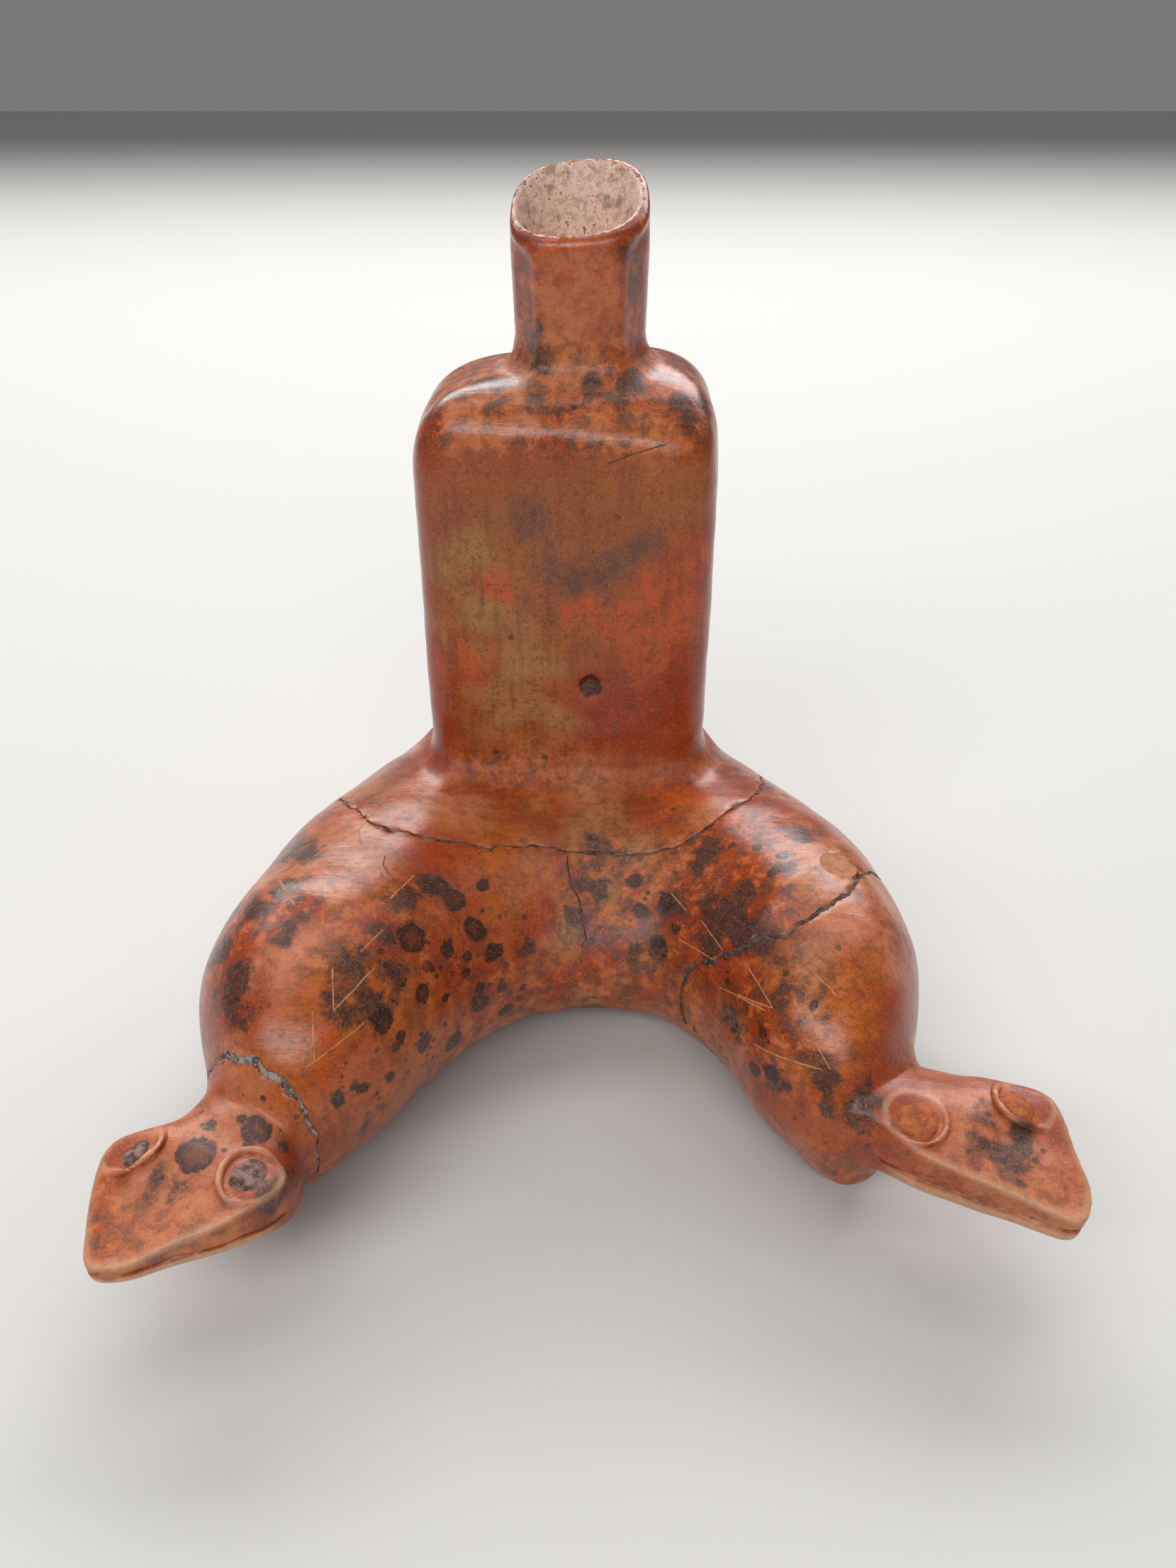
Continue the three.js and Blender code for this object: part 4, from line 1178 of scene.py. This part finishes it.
def lay_ribbons(name, field, lines, width, material, slot, nodes=(), waver=0.15):
    """Draws lines on the clay as narrow ribbons that follow its surface."""
    points, edges = [], []
    for line in lines:
        line = np.array(line, float)
        path = []
        for a, b in zip(line[:-1], line[1:]):
            count = max(2, int(np.linalg.norm(b - a) / 0.8))
            path.extend(a + (b - a) * w for w in np.linspace(0, 1, count, endpoint=False))
        path.append(line[-1])
        first = len(points)
        edges.extend((first + k, first + k + 1) for k in range(len(path) - 1))
        points.extend(path)
    points, square = on_surface(field, np.array(points))
    sideways = np.cross(square, [0.3, 0.5, 0.8])
    points = points + square * RIBBON_LIFT + sideways * (waver * ripple(points, 4, 61))[:, None]
    mesh = bpy.data.meshes.new(name)
    mesh.from_pydata((points * MM).tolist(), edges, [])
    attribute = mesh.attributes.new("square", "FLOAT_VECTOR", "POINT")
    attribute.data.foreach_set("vector", square.astype(np.float32).ravel())
    guide = put(name + "_guide", mesh)
    tree = bpy.data.node_groups.get("ribbon_on_surface") or ribbon_tree()
    modifier = guide.modifiers.new("ribbon", "NODES")
    modifier.node_group = tree
    inputs = {"Width": width * MM, "Material": material}
    for item in tree.interface.items_tree:
        if item.in_out == "INPUT" and item.name in inputs:
            modifier[item.identifier] = inputs[item.name]
    depsgraph = bpy.context.evaluated_depsgraph_get()
    result = bpy.data.meshes.new_from_object(guide.evaluated_get(depsgraph))
    guide.modifiers.remove(modifier)
    bpy.data.objects.remove(guide)
    if not result.polygons:
        raise RuntimeError(f"{name} came out empty")
    result.name = name
    fit(put(name, result), slot, nodes)


class VESSEL_OT_scratches(bpy.types.Operator):
    """Draws the incised zigzags, the fine cracks and the seam between the snakes"""
    bl_idname = "vessel.scratches"
    bl_label = "Incised lines and seam"

    def execute(self, context):
        pale = mortar("scratched_clay", "c88a5c", "a8643c", "d8a478")
        dark = mortar("crack_shadow", "3a2018", "5a3c28", "241410")
        lay_ribbons("left_scratches", left_form, LEFT_SCRATCHES, 0.45, pale, "burnished_clay")
        lay_ribbons("right_scratches", body, RIGHT_SCRATCHES, 0.4, pale, "burnished_clay")
        lay_ribbons("end_scratches", right_form, END_SCRATCHES, 0.45, pale, "burnished_clay")
        lay_ribbons("fine_cracks", body, CRACKS, 0.35, dark, "burnished_clay")
        lay_ribbons("seam_line", body, SEAM_LINE, 0.6, dark, "filler", ("seam_filler",), waver=0.6)
        return {"FINISHED"}


class VESSEL_OT_stage(bpy.types.Operator):
    """Sets the pale floor, the soft lamps, the sky and the camera"""
    bl_idname = "vessel.stage"
    bl_label = "Stage"

    def execute(self, context):
        scene = context.scene
        mesh = bpy.data.meshes.new("floor")
        mesh.from_pydata([(-3, -2, 0), (3, -2, 0), (3, 4, 0), (-3, 4, 0)], [], [(0, 1, 2, 3)])
        floor = put("floor", mesh)
        material = bpy.data.materials.new("pale_floor")
        material.use_nodes = True
        shader = material.node_tree.nodes["Principled BSDF"]
        shader.inputs["Base Color"].default_value = (0.6, 0.59, 0.57, 1)
        shader.inputs["Roughness"].default_value = 0.75
        mesh.materials.append(material)
        world = bpy.data.worlds.new("sky")
        world.use_nodes = True
        world.node_tree.nodes["Background"].inputs["Color"].default_value = (0.9, 0.9, 0.92, 1)
        world.node_tree.nodes["Background"].inputs["Strength"].default_value = 0.21
        scene.world = world
        for name, at, width, depth, power in (
            ("back_lamp", (0.0, 1.9, 1.6), 4.2, 0.8, 80),
            ("top_lamp", (-0.1, 0.3, 1.7), 2.4, 0.8, 10),
            ("front_lamp", (-0.35, -1.25, 1.3), 2.2, 0.4, 19),
        ):
            data = bpy.data.lights.new(name, "AREA")
            data.shape, data.size, data.size_y, data.energy = "RECTANGLE", width, depth, power
            aim(put(name, data), at, (0, 0, 0.08))
        camera = put("camera", bpy.data.cameras.new("camera"))
        camera.data.lens, camera.data.sensor_width = 27.03, 36.0
        camera.location = (-0.0005, -0.3259, 0.322)
        camera.rotation_euler = (math.radians(90 - CAMERA_PITCH), 0, 0)
        camera.data.clip_start = 0.01
        scene.camera = camera
        scene.view_settings.view_transform = "Standard"
        return {"FINISHED"}


def aim(thing, at, target):
    """Puts a thing at a place and turns it to face another."""
    thing.location = at
    thing.rotation_euler = (Vector(target) - Vector(at)).to_track_quat("-Z", "Y").to_euler()


OPERATORS = (VESSEL_OT_bodies, VESSEL_OT_heads, VESSEL_OT_pellets, VESSEL_OT_fillers, VESSEL_OT_scratches,
             VESSEL_OT_stage)


class VESSEL_PT_panel(bpy.types.Panel):
    bl_label = "Snake vessel"
    bl_idname = "VESSEL_PT_panel"
    bl_space_type = "VIEW_3D"
    bl_region_type = "UI"
    bl_category = "Vessel"

    def draw(self, context):
        for group in (context.scene.vessel_sizes, context.scene.vessel_colours):
            for name in group.bl_rna.properties.keys():
                if name not in ("rna_type", "name"):
                    self.layout.prop(group, name)
        for operator in OPERATORS:
            self.layout.operator(operator.bl_idname)


CLASSES = (VesselColours, VesselSizes, *OPERATORS, VESSEL_PT_panel)


def register():
    for cls in CLASSES:
        bpy.utils.register_class(cls)
    bpy.types.Scene.vessel_colours = bpy.props.PointerProperty(type=VesselColours)
    bpy.types.Scene.vessel_sizes = bpy.props.PointerProperty(type=VesselSizes)


def unregister():
    del bpy.types.Scene.vessel_sizes
    del bpy.types.Scene.vessel_colours
    for cls in reversed(CLASSES):
        bpy.utils.unregister_class(cls)


def main():
    register()
    bpy.ops.vessel.bodies()
    bpy.ops.vessel.heads()
    bpy.ops.vessel.pellets()
    bpy.ops.vessel.fillers()
    bpy.ops.vessel.scratches()
    bpy.ops.vessel.stage()


if __name__ == "__main__":
    main()
